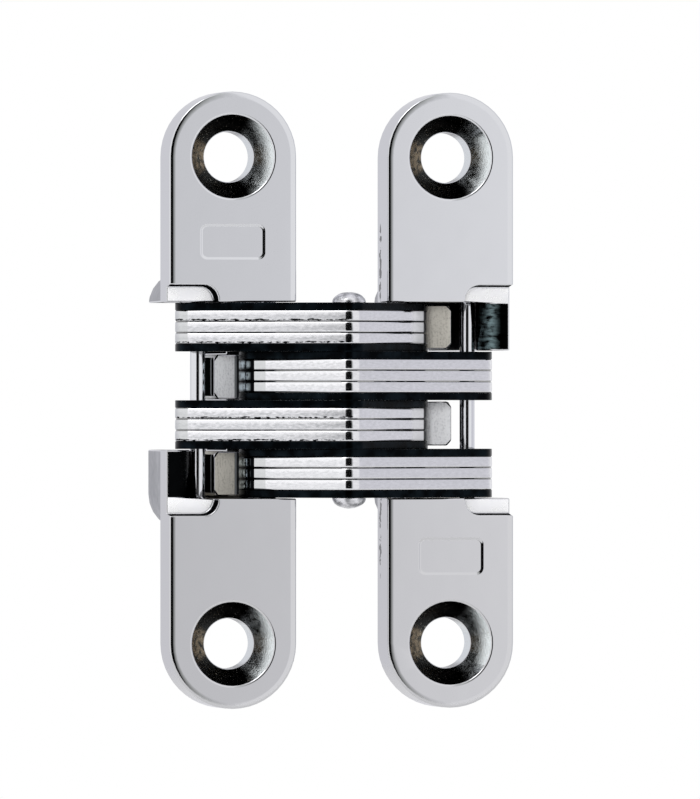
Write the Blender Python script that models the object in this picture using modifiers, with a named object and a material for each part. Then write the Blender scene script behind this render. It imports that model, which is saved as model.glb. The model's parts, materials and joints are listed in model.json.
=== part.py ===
"""Invisible hinge for a door or lid edge, modelled fully open.

Two like castings, the leaves, lie face up on either side of a gap. Four stacks of
steel links cross in pairs on one centre pin, like scissors. One end of each stack
turns on a pin fixed in its leaf, and the other end carries a pin that slides in
grooves in the end walls of the other leaf. Closed, the links fold into both
pockets and the two faces meet.

Row frame: X from the left leaf to the right, Y from the faces into the depth,
Z up along the leaves. The origin is the middle of the open hinge's box. "Depth" is
measured from the faces' plane, and in a leaf "inset" is measured from its outer
side towards the other leaf.
"""

import math

import bmesh
import bpy
from mathutils import Matrix, Vector

MM = 0.001

# Leaf flanges
LEAF_WIDTH = 12.7 * MM
LEAF_LENGTH = 60.32 * MM
LEAF_GAP = 9.14 * MM
CLOSED_GAP = 0.8 * MM
FLANGE_THICKNESS = 4.7 * MM
FLANGE_EDGE_ROUND = 0.4 * MM
SCREW_HOLE_DIAMETER = 4.95 * MM
COUNTERSINK_DIAMETER = 8.35 * MM
COUNTERSINK_ANGLE = math.radians(82)

# Leaf housings behind the flanges
HOUSING_LENGTH = 26.0 * MM
HOUSING_ROOT = 1.0 * MM
HOUSING_OUTER_INSET = 0.05 * MM
HOUSING_INNER_STEP = 1.1 * MM
HOUSING_SIDE_DRAFT = math.radians(6)
HOUSING_END_DRAFT = math.radians(1)
HOUSING_CORNER_RADIUS = 3.5 * MM
HOUSING_BACK_ROUND = 0.6 * MM

# Pivots, with the hinge open
FIXED_PIN_SET_IN = 2.0 * MM
FIXED_PIN_DEPTH = 3.8 * MM
SLIDE_PIN_INSET = 3.7 * MM
SLIDE_PIN_DEPTH = 4.1 * MM
CENTRE_PIN_HEIGHT = 3.0 * MM

# Pins
FIXED_PIN_DIAMETER = 1.5 * MM
FIXED_PIN_GRIP = 1.5 * MM
SLIDE_PIN_DIAMETER = 1.5 * MM
SLIDE_PIN_REACH = 0.75 * MM
CENTRE_PIN_DIAMETER = 1.6 * MM
CENTRE_HEAD_DIAMETER = 3.3 * MM
CENTRE_HEAD_HEIGHT = 1.0 * MM
PIN_END_CHAMFER = 0.15 * MM

# Link stacks: a dark side plate, three bright plates, a dark side plate
STACK_PITCH = 4.77 * MM
STACK_COUNT = 4
BRIGHT_PLATE_COUNT = 3
SIDE_PLATE_THICKNESS = 0.69 * MM
PLATE_GAP = 0.03 * MM
STACK_GAP = 0.05 * MM

# Link outline
APEX_RADIUS = 1.8 * MM
HEEL_RADIUS = 2.88 * MM
HEEL_CORNER_RADIUS = 0.35 * MM
HEEL_END_ANGLE = math.radians(15)
FIXED_EYE_RADIUS = 1.45 * MM
SLIDE_END_RADIUS = 2.05 * MM
SLIDE_END_SET_OUT = 0.28 * MM
SLIDE_END_SET_FORWARD = 0.5 * MM
CROTCH_RADIUS = 1.5 * MM
CROTCH_WALL = 1.7 * MM

# Leaf pockets
POCKET_END_CLEARANCE = 0.08 * MM
WALL_END_CLEARANCE = 0.12 * MM
SLOT_WALL_THICKNESS = 5.5 * MM
KNUCKLE_FLOOR_DEPTH = 7.0 * MM
KEPT_FLOOR_DEPTH = 15.9 * MM
KEPT_FLOOR_THICKNESS = 1.1 * MM
WALL_TOP_THICKNESS = 0.15 * MM
SCOOP_DEPTH = 3.8 * MM
SCOOP_RADIUS = 2.8 * MM
RECESS_DEPTH = 1.6 * MM
RECESS_WIDTH = 4.9 * MM
RECESS_LENGTH = 22.6 * MM
RECESS_CORNER_RADIUS = 1.5 * MM
GROOVE_CLEARANCE = 0.08 * MM
GROOVE_DEPTH = 0.9 * MM

# Webs between the sliding pin and the heel of a stack
WEB_HEIGHT = 4.35 * MM
UPPER_WEB_FOOT = 0.12 * MM
LOWER_WEB_FOOT = -9.38 * MM
WEB_TOP_SET_IN = 7.4 * MM
WEB_TOP_DEPTH = 3.95 * MM
WEB_BACK_CORNER_SET_IN = 6.75 * MM
WEB_BACK_SET_IN = 0.4 * MM
WEB_CREST_SET_IN = 5.0 * MM
WEB_CREST_DEPTH = 5.5 * MM
WEB_ROOT = 0.6 * MM
WEB_CORNER_ROUND = 0.55 * MM

# Fits
RUNNING_CLEARANCE = 0.06 * MM
SNUG_CLEARANCE = 0.03 * MM
OVERRUN = 1.0 * MM
WELD_DISTANCE = 0.001 * MM

# Smoothness
ARC_STEP = math.radians(15)
FLANGE_ARC_STEP = math.radians(7.5)
HOLE_SIDES = 16
PIN_SIDES = 20
SCREW_HOLE_SIDES = 48
SLIDE_STEPS = 12
SMOOTH_ANGLE = math.radians(35)
FLAT_ANGLE = math.radians(1)

# Worked out from the sizes above
OUTER_SIDE = LEAF_GAP / 2 + LEAF_WIDTH
FIXED_PIN_INSET = LEAF_WIDTH - FIXED_PIN_SET_IN
SLOT_INNER_INSET = LEAF_WIDTH - SLOT_WALL_THICKNESS
WEB_TOP_INSET = LEAF_WIDTH - WEB_TOP_SET_IN
WEB_BACK_INSET = LEAF_WIDTH - WEB_BACK_CORNER_SET_IN
WEB_CREST_INSET = LEAF_WIDTH - WEB_CREST_SET_IN
FIXED_PIN_X = OUTER_SIDE - FIXED_PIN_INSET
SLIDE_PIN_X = OUTER_SIDE - SLIDE_PIN_INSET
POCKET_HALF = STACK_COUNT * STACK_PITCH / 2 + POCKET_END_CLEARANCE
STACK_HEIGHT = STACK_PITCH - STACK_GAP
BRIGHT_PLATE_THICKNESS = (
    STACK_HEIGHT - 2 * SIDE_PLATE_THICKNESS - (BRIGHT_PLATE_COUNT + 1) * PLATE_GAP
) / BRIGHT_PLATE_COUNT
GROOVE_HALF_WIDTH = SLIDE_PIN_DIAMETER / 2 + GROOVE_CLEARANCE
HOUSING_DEPTH = KEPT_FLOOR_DEPTH + KEPT_FLOOR_THICKNESS
WEB_BACK_DEPTH = HOUSING_DEPTH - WEB_BACK_SET_IN
FRAME_DEPTH = (HOUSING_DEPTH - CENTRE_PIN_HEIGHT - APEX_RADIUS) / 2

# Places in a leaf's own frame, whose origin is on its fixed pin
CENTRE_FROM_FIXED = Vector((FIXED_PIN_X, -CENTRE_PIN_HEIGHT - FIXED_PIN_DEPTH))
SLIDE_FROM_FIXED = Vector((SLIDE_PIN_INSET - FIXED_PIN_INSET, SLIDE_PIN_DEPTH - FIXED_PIN_DEPTH))

# Places in a link's own frame, whose origin is on the centre pin
SLIDE_FROM_CENTRE = SLIDE_FROM_FIXED - CENTRE_FROM_FIXED
FIXED_FROM_CENTRE = Vector((FIXED_PIN_X, CENTRE_PIN_HEIGHT + FIXED_PIN_DEPTH))


def remove_objects():
    """Empty the scene."""
    for item in list(bpy.data.objects):
        bpy.data.objects.remove(item, do_unlink=True)


def new_collection(name):
    """Return a new collection linked to the scene."""
    collection = bpy.data.collections.new(name)
    bpy.context.scene.collection.children.link(collection)
    return collection


def new_material(name, color, metallic, roughness):
    """Return a Principled material of one finish."""
    material = bpy.data.materials.new(name)
    material.use_nodes = True
    shader = material.node_tree.nodes["Principled BSDF"]
    shader.inputs["Base Color"].default_value = (*color, 1.0)
    shader.inputs["Metallic"].default_value = metallic
    shader.inputs["Roughness"].default_value = roughness
    return material


def direction(angle):
    """Return the unit vector at an angle."""
    return Vector((math.cos(angle), math.sin(angle)))


def turned(vector, angle):
    """Return a flat vector turned anticlockwise by an angle."""
    return Matrix.Rotation(angle, 2) @ vector


def belt(circles, step):
    """Return the outline of a belt run anticlockwise round circles.

    Each circle is a centre and a radius, which is negative where the belt bends
    the other way round it and the outline is hollow.
    """
    normals = []
    for (centre, radius), (next_centre, next_radius) in zip(circles, circles[1:] + circles[:1]):
        along = next_centre - centre
        lean = (radius - next_radius) / along.length
        along.normalize()
        outward = Vector((along.y, -along.x))
        normals.append(outward * math.sqrt(max(0.0, 1.0 - lean**2)) + along * lean)
    outline = []
    for index, (centre, radius) in enumerate(circles):
        first = math.atan2(normals[index - 1].y, normals[index - 1].x)
        last = math.atan2(normals[index].y, normals[index].x)
        sweep = (last - first) % math.tau if radius > 0 else -((first - last) % math.tau)
        steps = max(1, math.ceil(abs(sweep) / step))
        outline += [centre + radius * direction(first + sweep * i / steps) for i in range(steps + 1)]
    return outline


def ring(centre, radius, sides):
    """Return a regular polygon round a centre."""
    return [centre + radius * direction(math.tau * i / sides) for i in range(sides)]


def offset_line(line, distance):
    """Return a line shifted to its left by a distance, mitred at its corners."""
    shifted = []
    for index, point in enumerate(line):
        before = point - line[index - 1] if index > 0 else line[1] - point
        after = line[index + 1] - point if index < len(line) - 1 else before
        left_before = turned(before.normalized(), math.pi / 2)
        left_after = turned(after.normalized(), math.pi / 2)
        middle = (left_before + left_after).normalized()
        shifted.append(point + middle * distance / middle.dot(left_before))
    return shifted


def arc_between(start, end, radius, steps):
    """Return points of the arc from start to end whose centre lies on its left."""
    half = (end - start) / 2
    rise = math.sqrt(radius**2 - half.length_squared)
    centre = start + half + turned(half.normalized(), math.pi / 2) * rise
    first = start - centre
    sweep = first.angle_signed(end - centre)
    return [centre + turned(first, -sweep * i / steps) for i in range(steps + 1)]


def weld(mesh):
    """Join points of a mesh that lie on each other, such as those of a curve's caps."""
    cage = bmesh.new()
    cage.from_mesh(mesh)
    bmesh.ops.remove_doubles(cage, verts=cage.verts, dist=WELD_DISTANCE)
    cage.to_mesh(mesh)
    cage.free()


def join_flats(solid):
    """Join the triangles of a solid's flat sides, so that its edges have room to be rounded."""
    cage = bmesh.new()
    cage.from_mesh(solid.data)
    bmesh.ops.dissolve_limit(cage, angle_limit=FLAT_ANGLE, verts=cage.verts, edges=cage.edges)
    cage.to_mesh(solid.data)
    cage.free()


def solid_copy(source, name):
    """Return an object whose mesh is the evaluated shape of another, which is removed."""
    bpy.context.view_layer.update()
    graph = bpy.context.evaluated_depsgraph_get()
    mesh = bpy.data.meshes.new_from_object(source.evaluated_get(graph))
    weld(mesh)
    solid = bpy.data.objects.new(name, mesh)
    solid.matrix_world = source.matrix_world
    for collection in source.users_collection:
        collection.objects.link(solid)
    bpy.data.objects.remove(source, do_unlink=True)
    return solid


def prism(name, collection, outline, low, high, holes=()):
    """Return a flat outline in X and Y with its holes, made solid from low to high in Z."""
    curve = bpy.data.curves.new(name, "CURVE")
    curve.dimensions = "2D"
    curve.fill_mode = "BOTH"
    curve.extrude = (high - low) / 2
    for loop in (outline, *holes):
        spline = curve.splines.new("POLY")
        spline.points.add(len(loop) - 1)
        spline.use_cyclic_u = True
        for point, spot in zip(spline.points, loop):
            point.co = (spot.x, spot.y, 0.0, 1.0)
    sketch = bpy.data.objects.new(f"{name}_sketch", curve)
    sketch.location.z = (low + high) / 2
    collection.objects.link(sketch)
    solid = solid_copy(sketch, name)
    bake_place(solid)
    return solid


def bake_place(solid):
    """Move an object's place and turn into its mesh."""
    solid.data.transform(solid.matrix_world)
    solid.matrix_world = Matrix.Identity(4)


def face_up(solid):
    """Turn a prism so that its outline's Y becomes Z and its thickness runs into the depth."""
    solid.data.transform(Matrix.Rotation(math.pi / 2, 4, "X"))
    return solid


def cylinder(name, collection, radii, length, sides):
    """Return a cylinder or cone along Z, centred on the origin."""
    mesh = bpy.data.meshes.new(name)
    cage = bmesh.new()
    bmesh.ops.create_cone(
        cage, cap_ends=True, segments=sides, radius1=radii[0], radius2=radii[1], depth=length
    )
    cage.to_mesh(mesh)
    cage.free()
    solid = bpy.data.objects.new(name, mesh)
    collection.objects.link(solid)
    return solid


def turned_pin(name, collection, profile, sides):
    """Return a profile of radii and heights, top to bottom, turned round Z."""
    mesh = bpy.data.meshes.new(name)
    points = [(radius, 0.0, height) for radius, height in profile]
    mesh.from_pydata(points, [(i, i + 1) for i in range(len(points) - 1)], [])
    pin = bpy.data.objects.new(name, mesh)
    collection.objects.link(pin)
    screw = pin.modifiers.new("turn", "SCREW")
    screw.axis = "Z"
    screw.steps = sides
    screw.render_steps = sides
    screw.use_merge_vertices = True
    screw.merge_threshold = WELD_DISTANCE
    screw.use_smooth_shade = True
    return pin


def bevel(solid, width, segments):
    """Round the sharp edges of a solid with a live modifier."""
    rounding = solid.modifiers.new("edge_round", "BEVEL")
    rounding.width = width
    rounding.segments = segments
    rounding.limit_method = "ANGLE"
    rounding.angle_limit = SMOOTH_ANGLE
    return rounding


def combine(solid, operand, operation):
    """Add or take away another solid with a live Boolean modifier."""
    boolean = solid.modifiers.new(operand.name, "BOOLEAN")
    boolean.operation = operation
    boolean.object = operand
    boolean.solver = "EXACT"
    operand.hide_render = True
    operand.display_type = "WIRE"


def in_leaf(inset, depth):
    """Return a place in a leaf's own frame."""
    return Vector((inset - FIXED_PIN_INSET, depth - FIXED_PIN_DEPTH))


def closing_turns():
    """Return how far, from open to closed, the two link sets turn as their leaf sees them.

    The first set turns on the leaf's fixed pin, until the centre pin is midway
    between the closed faces. The second set carries the sliding pin. It turns the
    other way from the leaf's mirror image, so its turn is half a circle less.
    """
    reach = CENTRE_FROM_FIXED.length
    open_angle = math.atan2(CENTRE_FROM_FIXED.y, CENTRE_FROM_FIXED.x)
    closed_angle = math.asin((FIXED_PIN_DEPTH + CLOSED_GAP / 2) / reach) - math.pi
    first = closed_angle - open_angle
    return first, -first - math.pi


def slide_path():
    """Return the places of the sliding pin in its leaf, from open to closed."""
    pivot_turn, arm_turn = closing_turns()
    path = []
    for index in range(SLIDE_STEPS + 1):
        part_way = index / SLIDE_STEPS
        centre = turned(CENTRE_FROM_FIXED, pivot_turn * part_way)
        path.append(centre + turned(SLIDE_FROM_CENTRE, arm_turn * part_way))
    return path


def groove_line():
    """Return the middle line of a groove, from its mouth in the face to its closed end."""
    path = slide_path()
    mouth = Vector((path[0].x, in_leaf(0.0, -OVERRUN).y))
    return [mouth] + path


def link_outline():
    """Return the outline of a link whose sliding end is on its left."""
    heel_corner = FIXED_FROM_CENTRE + (HEEL_RADIUS - HEEL_CORNER_RADIUS) * direction(HEEL_END_ANGLE)
    slide_end = SLIDE_FROM_CENTRE - Vector((SLIDE_END_SET_OUT, SLIDE_END_SET_FORWARD))
    between = (SLIDE_FROM_CENTRE.normalized() + FIXED_FROM_CENTRE.normalized()).normalized()
    crotch = between * (CROTCH_WALL + CROTCH_RADIUS)
    circles = [
        (Vector((0.0, 0.0)), APEX_RADIUS),
        (FIXED_FROM_CENTRE, HEEL_RADIUS),
        (heel_corner, HEEL_CORNER_RADIUS),
        (FIXED_FROM_CENTRE, FIXED_EYE_RADIUS),
        (crotch, -CROTCH_RADIUS),
        (slide_end, SLIDE_END_RADIUS),
    ]
    return belt(circles, ARC_STEP)


def link_plate(name, collection, thickness):
    """Return a link plate on the centre pin, centred on Z zero."""
    holes = [
        ring(Vector((0.0, 0.0)), CENTRE_PIN_DIAMETER / 2 + RUNNING_CLEARANCE, HOLE_SIDES),
        ring(FIXED_FROM_CENTRE, FIXED_PIN_DIAMETER / 2 + RUNNING_CLEARANCE, HOLE_SIDES),
        ring(SLIDE_FROM_CENTRE, SLIDE_PIN_DIAMETER / 2 + RUNNING_CLEARANCE, HOLE_SIDES),
    ]
    return prism(name, collection, link_outline(), -thickness / 2, thickness / 2, holes)


def flange(collection):
    """Return the flange: a bar with round ends, softened edges and its face at depth zero."""
    middle_x = in_leaf(LEAF_WIDTH / 2, 0.0).x
    end_radius = LEAF_WIDTH / 2
    end_z = LEAF_LENGTH / 2 - end_radius
    ends = [(Vector((middle_x, -end_z)), end_radius), (Vector((middle_x, end_z)), end_radius)]
    face_y = in_leaf(0.0, 0.0).y
    solid = prism("flange", collection, belt(ends, FLANGE_ARC_STEP), -face_y - FLANGE_THICKNESS, -face_y)
    face_up(solid)
    join_flats(solid)
    bevel(solid, FLANGE_EDGE_ROUND, 3)
    return solid


def housing(collection):
    """Return the drafted housing with rounded corners, its front sunk into the flange."""
    mesh = bpy.data.meshes.new("housing")
    cage = bmesh.new()
    bmesh.ops.create_cube(cage, size=1.0)
    front_depth = FLANGE_THICKNESS - HOUSING_ROOT
    run = HOUSING_DEPTH - front_depth
    side_taper = run * math.tan(HOUSING_SIDE_DRAFT)
    end_taper = run * math.tan(HOUSING_END_DRAFT)
    inner_inset = LEAF_WIDTH - HOUSING_INNER_STEP
    for corner in cage.verts:
        back = corner.co.y > 0
        side = side_taper if back else 0.0
        end = end_taper if back else 0.0
        inset = inner_inset - side if corner.co.x > 0 else HOUSING_OUTER_INSET + side
        spot = in_leaf(inset, HOUSING_DEPTH if back else front_depth)
        half = HOUSING_LENGTH / 2 - end
        corner.co = (spot.x, spot.y, half if corner.co.z > 0 else -half)
    long_edges = [edge for edge in cage.edges if abs(edge.verts[0].co.y - edge.verts[1].co.y) > run / 2]
    bmesh.ops.bevel(
        cage, geom=long_edges, offset=HOUSING_CORNER_RADIUS, segments=6, profile=0.5, affect="EDGES"
    )
    cage.to_mesh(mesh)
    cage.free()
    solid = bpy.data.objects.new("housing", mesh)
    collection.objects.link(solid)
    bevel(solid, HOUSING_BACK_ROUND, 2)
    return solid


def open_slot(collection):
    """Return the cut for the stacks whose outer wall is open, from the face through the back."""
    outline = [
        in_leaf(-OVERRUN, -OVERRUN),
        in_leaf(LEAF_WIDTH + OVERRUN, -OVERRUN),
        in_leaf(LEAF_WIDTH + OVERRUN, KNUCKLE_FLOOR_DEPTH),
        in_leaf(SLOT_INNER_INSET, KNUCKLE_FLOOR_DEPTH),
        in_leaf(SLOT_INNER_INSET, HOUSING_DEPTH + OVERRUN),
        in_leaf(-OVERRUN, HOUSING_DEPTH + OVERRUN),
    ]
    return prism("open_slot", collection, outline, -STACK_PITCH - WALL_END_CLEARANCE, POCKET_HALF)


def closed_slot(collection):
    """Return the cut for the last stack, which keeps its outer wall and has a floor.

    The wall follows the sliding pin on its inside, and its top is scooped out for
    the knuckle that lies there when the hinge is closed.
    """
    floor_y = in_leaf(0.0, KEPT_FLOOR_DEPTH).y
    wall = offset_line(groove_line(), -GROOVE_HALF_WIDTH)[2:]
    wall = [point for point in wall if point.y < floor_y]
    scoop_top = in_leaf(WALL_TOP_THICKNESS, RECESS_DEPTH)
    scoop_end = in_leaf(SLIDE_PIN_INSET - GROOVE_HALF_WIDTH, SCOOP_DEPTH)
    scoop = arc_between(scoop_top, scoop_end, SCOOP_RADIUS, 5)
    outline = [
        in_leaf(SLOT_INNER_INSET, KEPT_FLOOR_DEPTH),
        in_leaf(SLOT_INNER_INSET, KNUCKLE_FLOOR_DEPTH),
        in_leaf(LEAF_WIDTH + OVERRUN, KNUCKLE_FLOOR_DEPTH),
        in_leaf(LEAF_WIDTH + OVERRUN, -OVERRUN),
        in_leaf(WALL_TOP_THICKNESS, -OVERRUN),
    ]
    outline += scoop + wall + [Vector((wall[-1].x, floor_y))]
    return prism("closed_slot", collection, outline, -POCKET_HALF, -STACK_PITCH)


def face_recess(collection):
    """Return the shallow cut in the face that clears the centre pin's heads when closed."""
    half_length = RECESS_LENGTH / 2 - RECESS_CORNER_RADIUS
    corner_x = in_leaf(RECESS_WIDTH - RECESS_CORNER_RADIUS, 0.0).x
    edge = in_leaf(-OVERRUN, 0.0).x
    outline = [Vector((edge, RECESS_LENGTH / 2)), Vector((edge, -RECESS_LENGTH / 2))]
    for middle, start in ((-half_length, -math.pi / 2), (half_length, 0.0)):
        centre = Vector((corner_x, middle))
        outline += [centre + RECESS_CORNER_RADIUS * direction(start + ARC_STEP * i) for i in range(7)]
    face_y = in_leaf(0.0, 0.0).y
    return face_up(
        prism("face_recess", collection, outline, -face_y - RECESS_DEPTH, -face_y + OVERRUN)
    )


def slide_groove(collection):
    """Return the cut of both grooves that the sliding pin's ends run in."""
    line = groove_line()
    heading = (line[-1] - line[-2]).normalized()
    start = math.atan2(heading.y, heading.x) - math.pi / 2
    end_arc = [line[-1] + GROOVE_HALF_WIDTH * direction(start + ARC_STEP * i) for i in range(1, 12)]
    right = offset_line(line, -GROOVE_HALF_WIDTH)
    left = offset_line(line, GROOVE_HALF_WIDTH)
    reach = POCKET_HALF + GROOVE_DEPTH
    return prism("slide_groove", collection, right + end_arc + left[::-1], -reach, reach)


def is_at(vertex, points):
    """Tell whether a vertex lies over one of some flat points."""
    return any((vertex.co.xy - point).length < WELD_DISTANCE for point in points)


def web(name, collection, low):
    """Return a web: its top clears the closed link, its inner side is the heel's hollow seat."""
    seat_radius = (in_leaf(WEB_CREST_INSET, WEB_CREST_DEPTH)).length
    floor_y = in_leaf(0.0, KNUCKLE_FLOOR_DEPTH).y
    crest = in_leaf(WEB_CREST_INSET, WEB_CREST_DEPTH)
    foot = Vector((-math.sqrt(seat_radius**2 - floor_y**2), floor_y))
    first = math.atan2(crest.y, crest.x)
    last = math.atan2(foot.y, foot.x)
    seat = [seat_radius * direction(first + (last - first) * i / 4) for i in range(5)]
    outline = [
        in_leaf(WEB_TOP_INSET, WEB_TOP_DEPTH),
        *seat,
        Vector((foot.x, floor_y + WEB_ROOT)),
        in_leaf(SLOT_INNER_INSET + WEB_ROOT, WEB_BACK_DEPTH),
        in_leaf(WEB_BACK_INSET, WEB_BACK_DEPTH),
    ]
    solid = prism(name, collection, outline, low, low + WEB_HEIGHT)
    outer_points = (outline[0], outline[-1])
    cage = bmesh.new()
    cage.from_mesh(solid.data)
    outer_edges = [edge for edge in cage.edges if all(is_at(end, outer_points) for end in edge.verts)]
    corners = [edge for edge in outer_edges if edge.verts[0].co.z == edge.verts[1].co.z]
    bmesh.ops.bevel(cage, geom=corners, offset=WEB_CORNER_ROUND, segments=3, profile=0.5, affect="EDGES")
    cage.to_mesh(solid.data)
    cage.free()
    return solid


def screw_holes(collection):
    """Return the cuts of both countersunk screw holes, which share the end arcs' centres."""
    sink_radius = COUNTERSINK_DIAMETER / 2
    hole_radius = SCREW_HOLE_DIAMETER / 2
    slope = math.tan(COUNTERSINK_ANGLE / 2)
    sink_depth = (sink_radius - hole_radius) / slope
    back = -FLANGE_THICKNESS - OVERRUN
    profile = [
        (0.0, OVERRUN),
        (sink_radius + OVERRUN * slope, OVERRUN),
        (hole_radius, -sink_depth),
        (hole_radius, back),
        (0.0, back),
    ]
    spot = in_leaf(LEAF_WIDTH / 2, 0.0)
    centre_z = LEAF_LENGTH / 2 - LEAF_WIDTH / 2
    cuts = []
    for end, z in (("upper", centre_z), ("lower", -centre_z)):
        turned_cut = turned_pin(f"{end}_sketch", collection, profile, SCREW_HOLE_SIDES)
        cut = face_up(solid_copy(turned_cut, f"{end}_screw_hole"))
        cut.data.transform(Matrix.Translation((spot.x, spot.y, z)))
        cuts.append(cut)
    return cuts


def fixed_pin_bore(collection):
    """Return the cut of the fixed pin's blind holes in both end walls."""
    reach = POCKET_HALF + FIXED_PIN_GRIP + SNUG_CLEARANCE
    radius = FIXED_PIN_DIAMETER / 2 + SNUG_CLEARANCE
    return cylinder("fixed_pin_bore", collection, (radius, radius), 2 * reach, PIN_SIDES)


def leaf_casting(cutters):
    """Return the finished leaf casting in its own frame, with its outer side at low X."""
    casting = flange(cutters)
    combine(casting, housing(cutters), "UNION")
    cuts = [open_slot(cutters), closed_slot(cutters), face_recess(cutters), slide_groove(cutters)]
    cuts += screw_holes(cutters)
    for cut in cuts:
        combine(casting, cut, "DIFFERENCE")
    for name, low in (("upper_web", UPPER_WEB_FOOT), ("lower_web", LOWER_WEB_FOOT)):
        combine(casting, web(name, cutters, low), "UNION")
    combine(casting, fixed_pin_bore(cutters), "DIFFERENCE")
    return solid_copy(casting, "casting")


def in_frame(x, depth, z=0.0):
    """Return a place in the row frame, given its depth behind the faces."""
    return (x, depth - FRAME_DEPTH, z)


def place(item, parent, world, turn=0.0):
    """Place an object at a world place, turned about Y, as the child of an unturned empty."""
    item.parent = parent
    origin = parent.location.copy() if parent else Vector((0.0, 0.0, 0.0))
    above = parent.parent if parent else None
    while above:
        origin += above.location
        above = above.parent
    item.location = Vector(world) - origin
    item.rotation_euler = (0.0, turn, 0.0)


def pivot(name, collection, parent, world):
    """Return an empty on a joint's axis."""
    empty = bpy.data.objects.new(name, None)
    empty.empty_display_size = LEAF_WIDTH / 2
    collection.objects.link(empty)
    place(empty, parent, world)
    return empty


def add_copy(name, mesh, material, collection, parent, world, turn=0.0):
    """Add one piece that shares a mesh, smooth on its round sides."""
    item = bpy.data.objects.new(name, mesh)
    collection.objects.link(item)
    if not mesh.materials:
        mesh.materials.append(material)
    mesh.shade_smooth()
    mesh.set_sharp_from_angle(angle=SMOOTH_ANGLE)
    place(item, parent, world, turn)
    return item


def plate_levels():
    """Yield each plate of a stack as its kind and its height above the stack's foot."""
    height = 0.0
    kinds = ["side", *["link"] * BRIGHT_PLATE_COUNT, "side"]
    for kind in kinds:
        thickness = SIDE_PLATE_THICKNESS if kind == "side" else BRIGHT_PLATE_THICKNESS
        yield kind, height + thickness / 2
        height += thickness + PLATE_GAP


def add_links(collection, meshes, materials, pivots):
    """Add the four stacks: the first and third reach left to slide, the others right."""
    counts = {}
    foot = STACK_COUNT * STACK_PITCH / 2
    for stack in range(STACK_COUNT):
        foot -= STACK_PITCH
        family = "a" if stack % 2 == 0 else "b"
        turn = 0.0 if family == "a" else math.pi
        for kind, height in plate_levels():
            key = f"link_{family}_{'side_plate' if kind == 'side' else 'plate'}"
            counts[key] = counts.get(key, 0) + 1
            z = foot + STACK_GAP / 2 + height
            add_copy(
                f"{key}_{counts[key]}",
                meshes[kind],
                materials[kind],
                collection,
                pivots[family],
                in_frame(0.0, -CENTRE_PIN_HEIGHT, z),
                turn,
            )


def straight_pin(name, collection, diameter, half_length):
    """Return a plain pin with chamfered ends along Z."""
    radius = diameter / 2
    tip = radius - PIN_END_CHAMFER
    profile = [
        (0.0, half_length),
        (tip, half_length),
        (radius, half_length - PIN_END_CHAMFER),
        (radius, PIN_END_CHAMFER - half_length),
        (tip, -half_length),
        (0.0, -half_length),
    ]
    return turned_pin(name, collection, profile, PIN_SIDES)


def centre_pin(collection):
    """Return the centre pin: a plain shank with a domed head riveted over at each end."""
    shank = CENTRE_PIN_DIAMETER / 2
    head = CENTRE_HEAD_DIAMETER / 2
    seat = STACK_COUNT * STACK_PITCH / 2 + STACK_GAP / 2
    dome = []
    steps = 5
    for index in range(steps + 1):
        lift = math.pi / 2 * (1 - index / steps)
        dome.append((head * math.cos(lift), seat + CENTRE_HEAD_HEIGHT * math.sin(lift)))
    dome[0] = (0.0, dome[0][1])
    upper = [*dome, (shank, seat)]
    profile = upper + [(radius, -height) for radius, height in reversed(upper)]
    return turned_pin("centre_pin", collection, profile, PIN_SIDES)


def finish(pin, material, parent, world):
    """Give a pin its material and its place."""
    pin.data.materials.append(material)
    place(pin, parent, world)


def main():
    remove_objects()
    hinge = new_collection("invisible_hinge")
    cutters = new_collection("cutters")
    chrome = new_material("polished_chrome", (0.78, 0.79, 0.80), 1.0, 0.12)
    bright = new_material("bright_steel", (0.72, 0.73, 0.74), 1.0, 0.22)
    dark = new_material("blackened_steel", (0.03, 0.035, 0.04), 0.6, 0.3)
    pin_steel = new_material("pin_steel", (0.70, 0.71, 0.72), 1.0, 0.18)

    left_axis = in_frame(-FIXED_PIN_X, FIXED_PIN_DEPTH)
    centre_axis = in_frame(0.0, -CENTRE_PIN_HEIGHT)
    right_axis = in_frame(FIXED_PIN_X, FIXED_PIN_DEPTH)
    left_pivot = pivot("left_pivot", hinge, None, left_axis)
    centre_pivot = pivot("centre_pivot", hinge, left_pivot, centre_axis)
    right_pivot = pivot("right_pivot", hinge, centre_pivot, right_axis)

    casting = leaf_casting(cutters)
    leaf_mesh = casting.data
    bpy.data.objects.remove(casting, do_unlink=True)
    add_copy("left_leaf", leaf_mesh, chrome, hinge, None, left_axis)
    add_copy("right_leaf", leaf_mesh, chrome, hinge, right_pivot, right_axis, math.pi)

    meshes = {}
    for kind, thickness in (("side", SIDE_PLATE_THICKNESS), ("link", BRIGHT_PLATE_THICKNESS)):
        sample = link_plate(f"{kind}_plate", cutters, thickness)
        meshes[kind] = sample.data
        bpy.data.objects.remove(sample, do_unlink=True)
    add_links(hinge, meshes, {"side": dark, "link": bright}, {"a": centre_pivot, "b": left_pivot})

    fixed_half = POCKET_HALF + FIXED_PIN_GRIP
    slide_half = POCKET_HALF + SLIDE_PIN_REACH
    left_fixed = straight_pin("left_fixed_pin", hinge, FIXED_PIN_DIAMETER, fixed_half)
    right_fixed = straight_pin("right_fixed_pin", hinge, FIXED_PIN_DIAMETER, fixed_half)
    left_slide = straight_pin("left_slide_pin", hinge, SLIDE_PIN_DIAMETER, slide_half)
    right_slide = straight_pin("right_slide_pin", hinge, SLIDE_PIN_DIAMETER, slide_half)
    finish(left_fixed, pin_steel, None, left_axis)
    finish(right_fixed, pin_steel, right_pivot, right_axis)
    finish(left_slide, pin_steel, centre_pivot, in_frame(-SLIDE_PIN_X, SLIDE_PIN_DEPTH))
    finish(right_slide, pin_steel, left_pivot, in_frame(SLIDE_PIN_X, SLIDE_PIN_DEPTH))
    finish(centre_pin(hinge), pin_steel, left_pivot, centre_axis)


if __name__ == "__main__":
    main()
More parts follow.
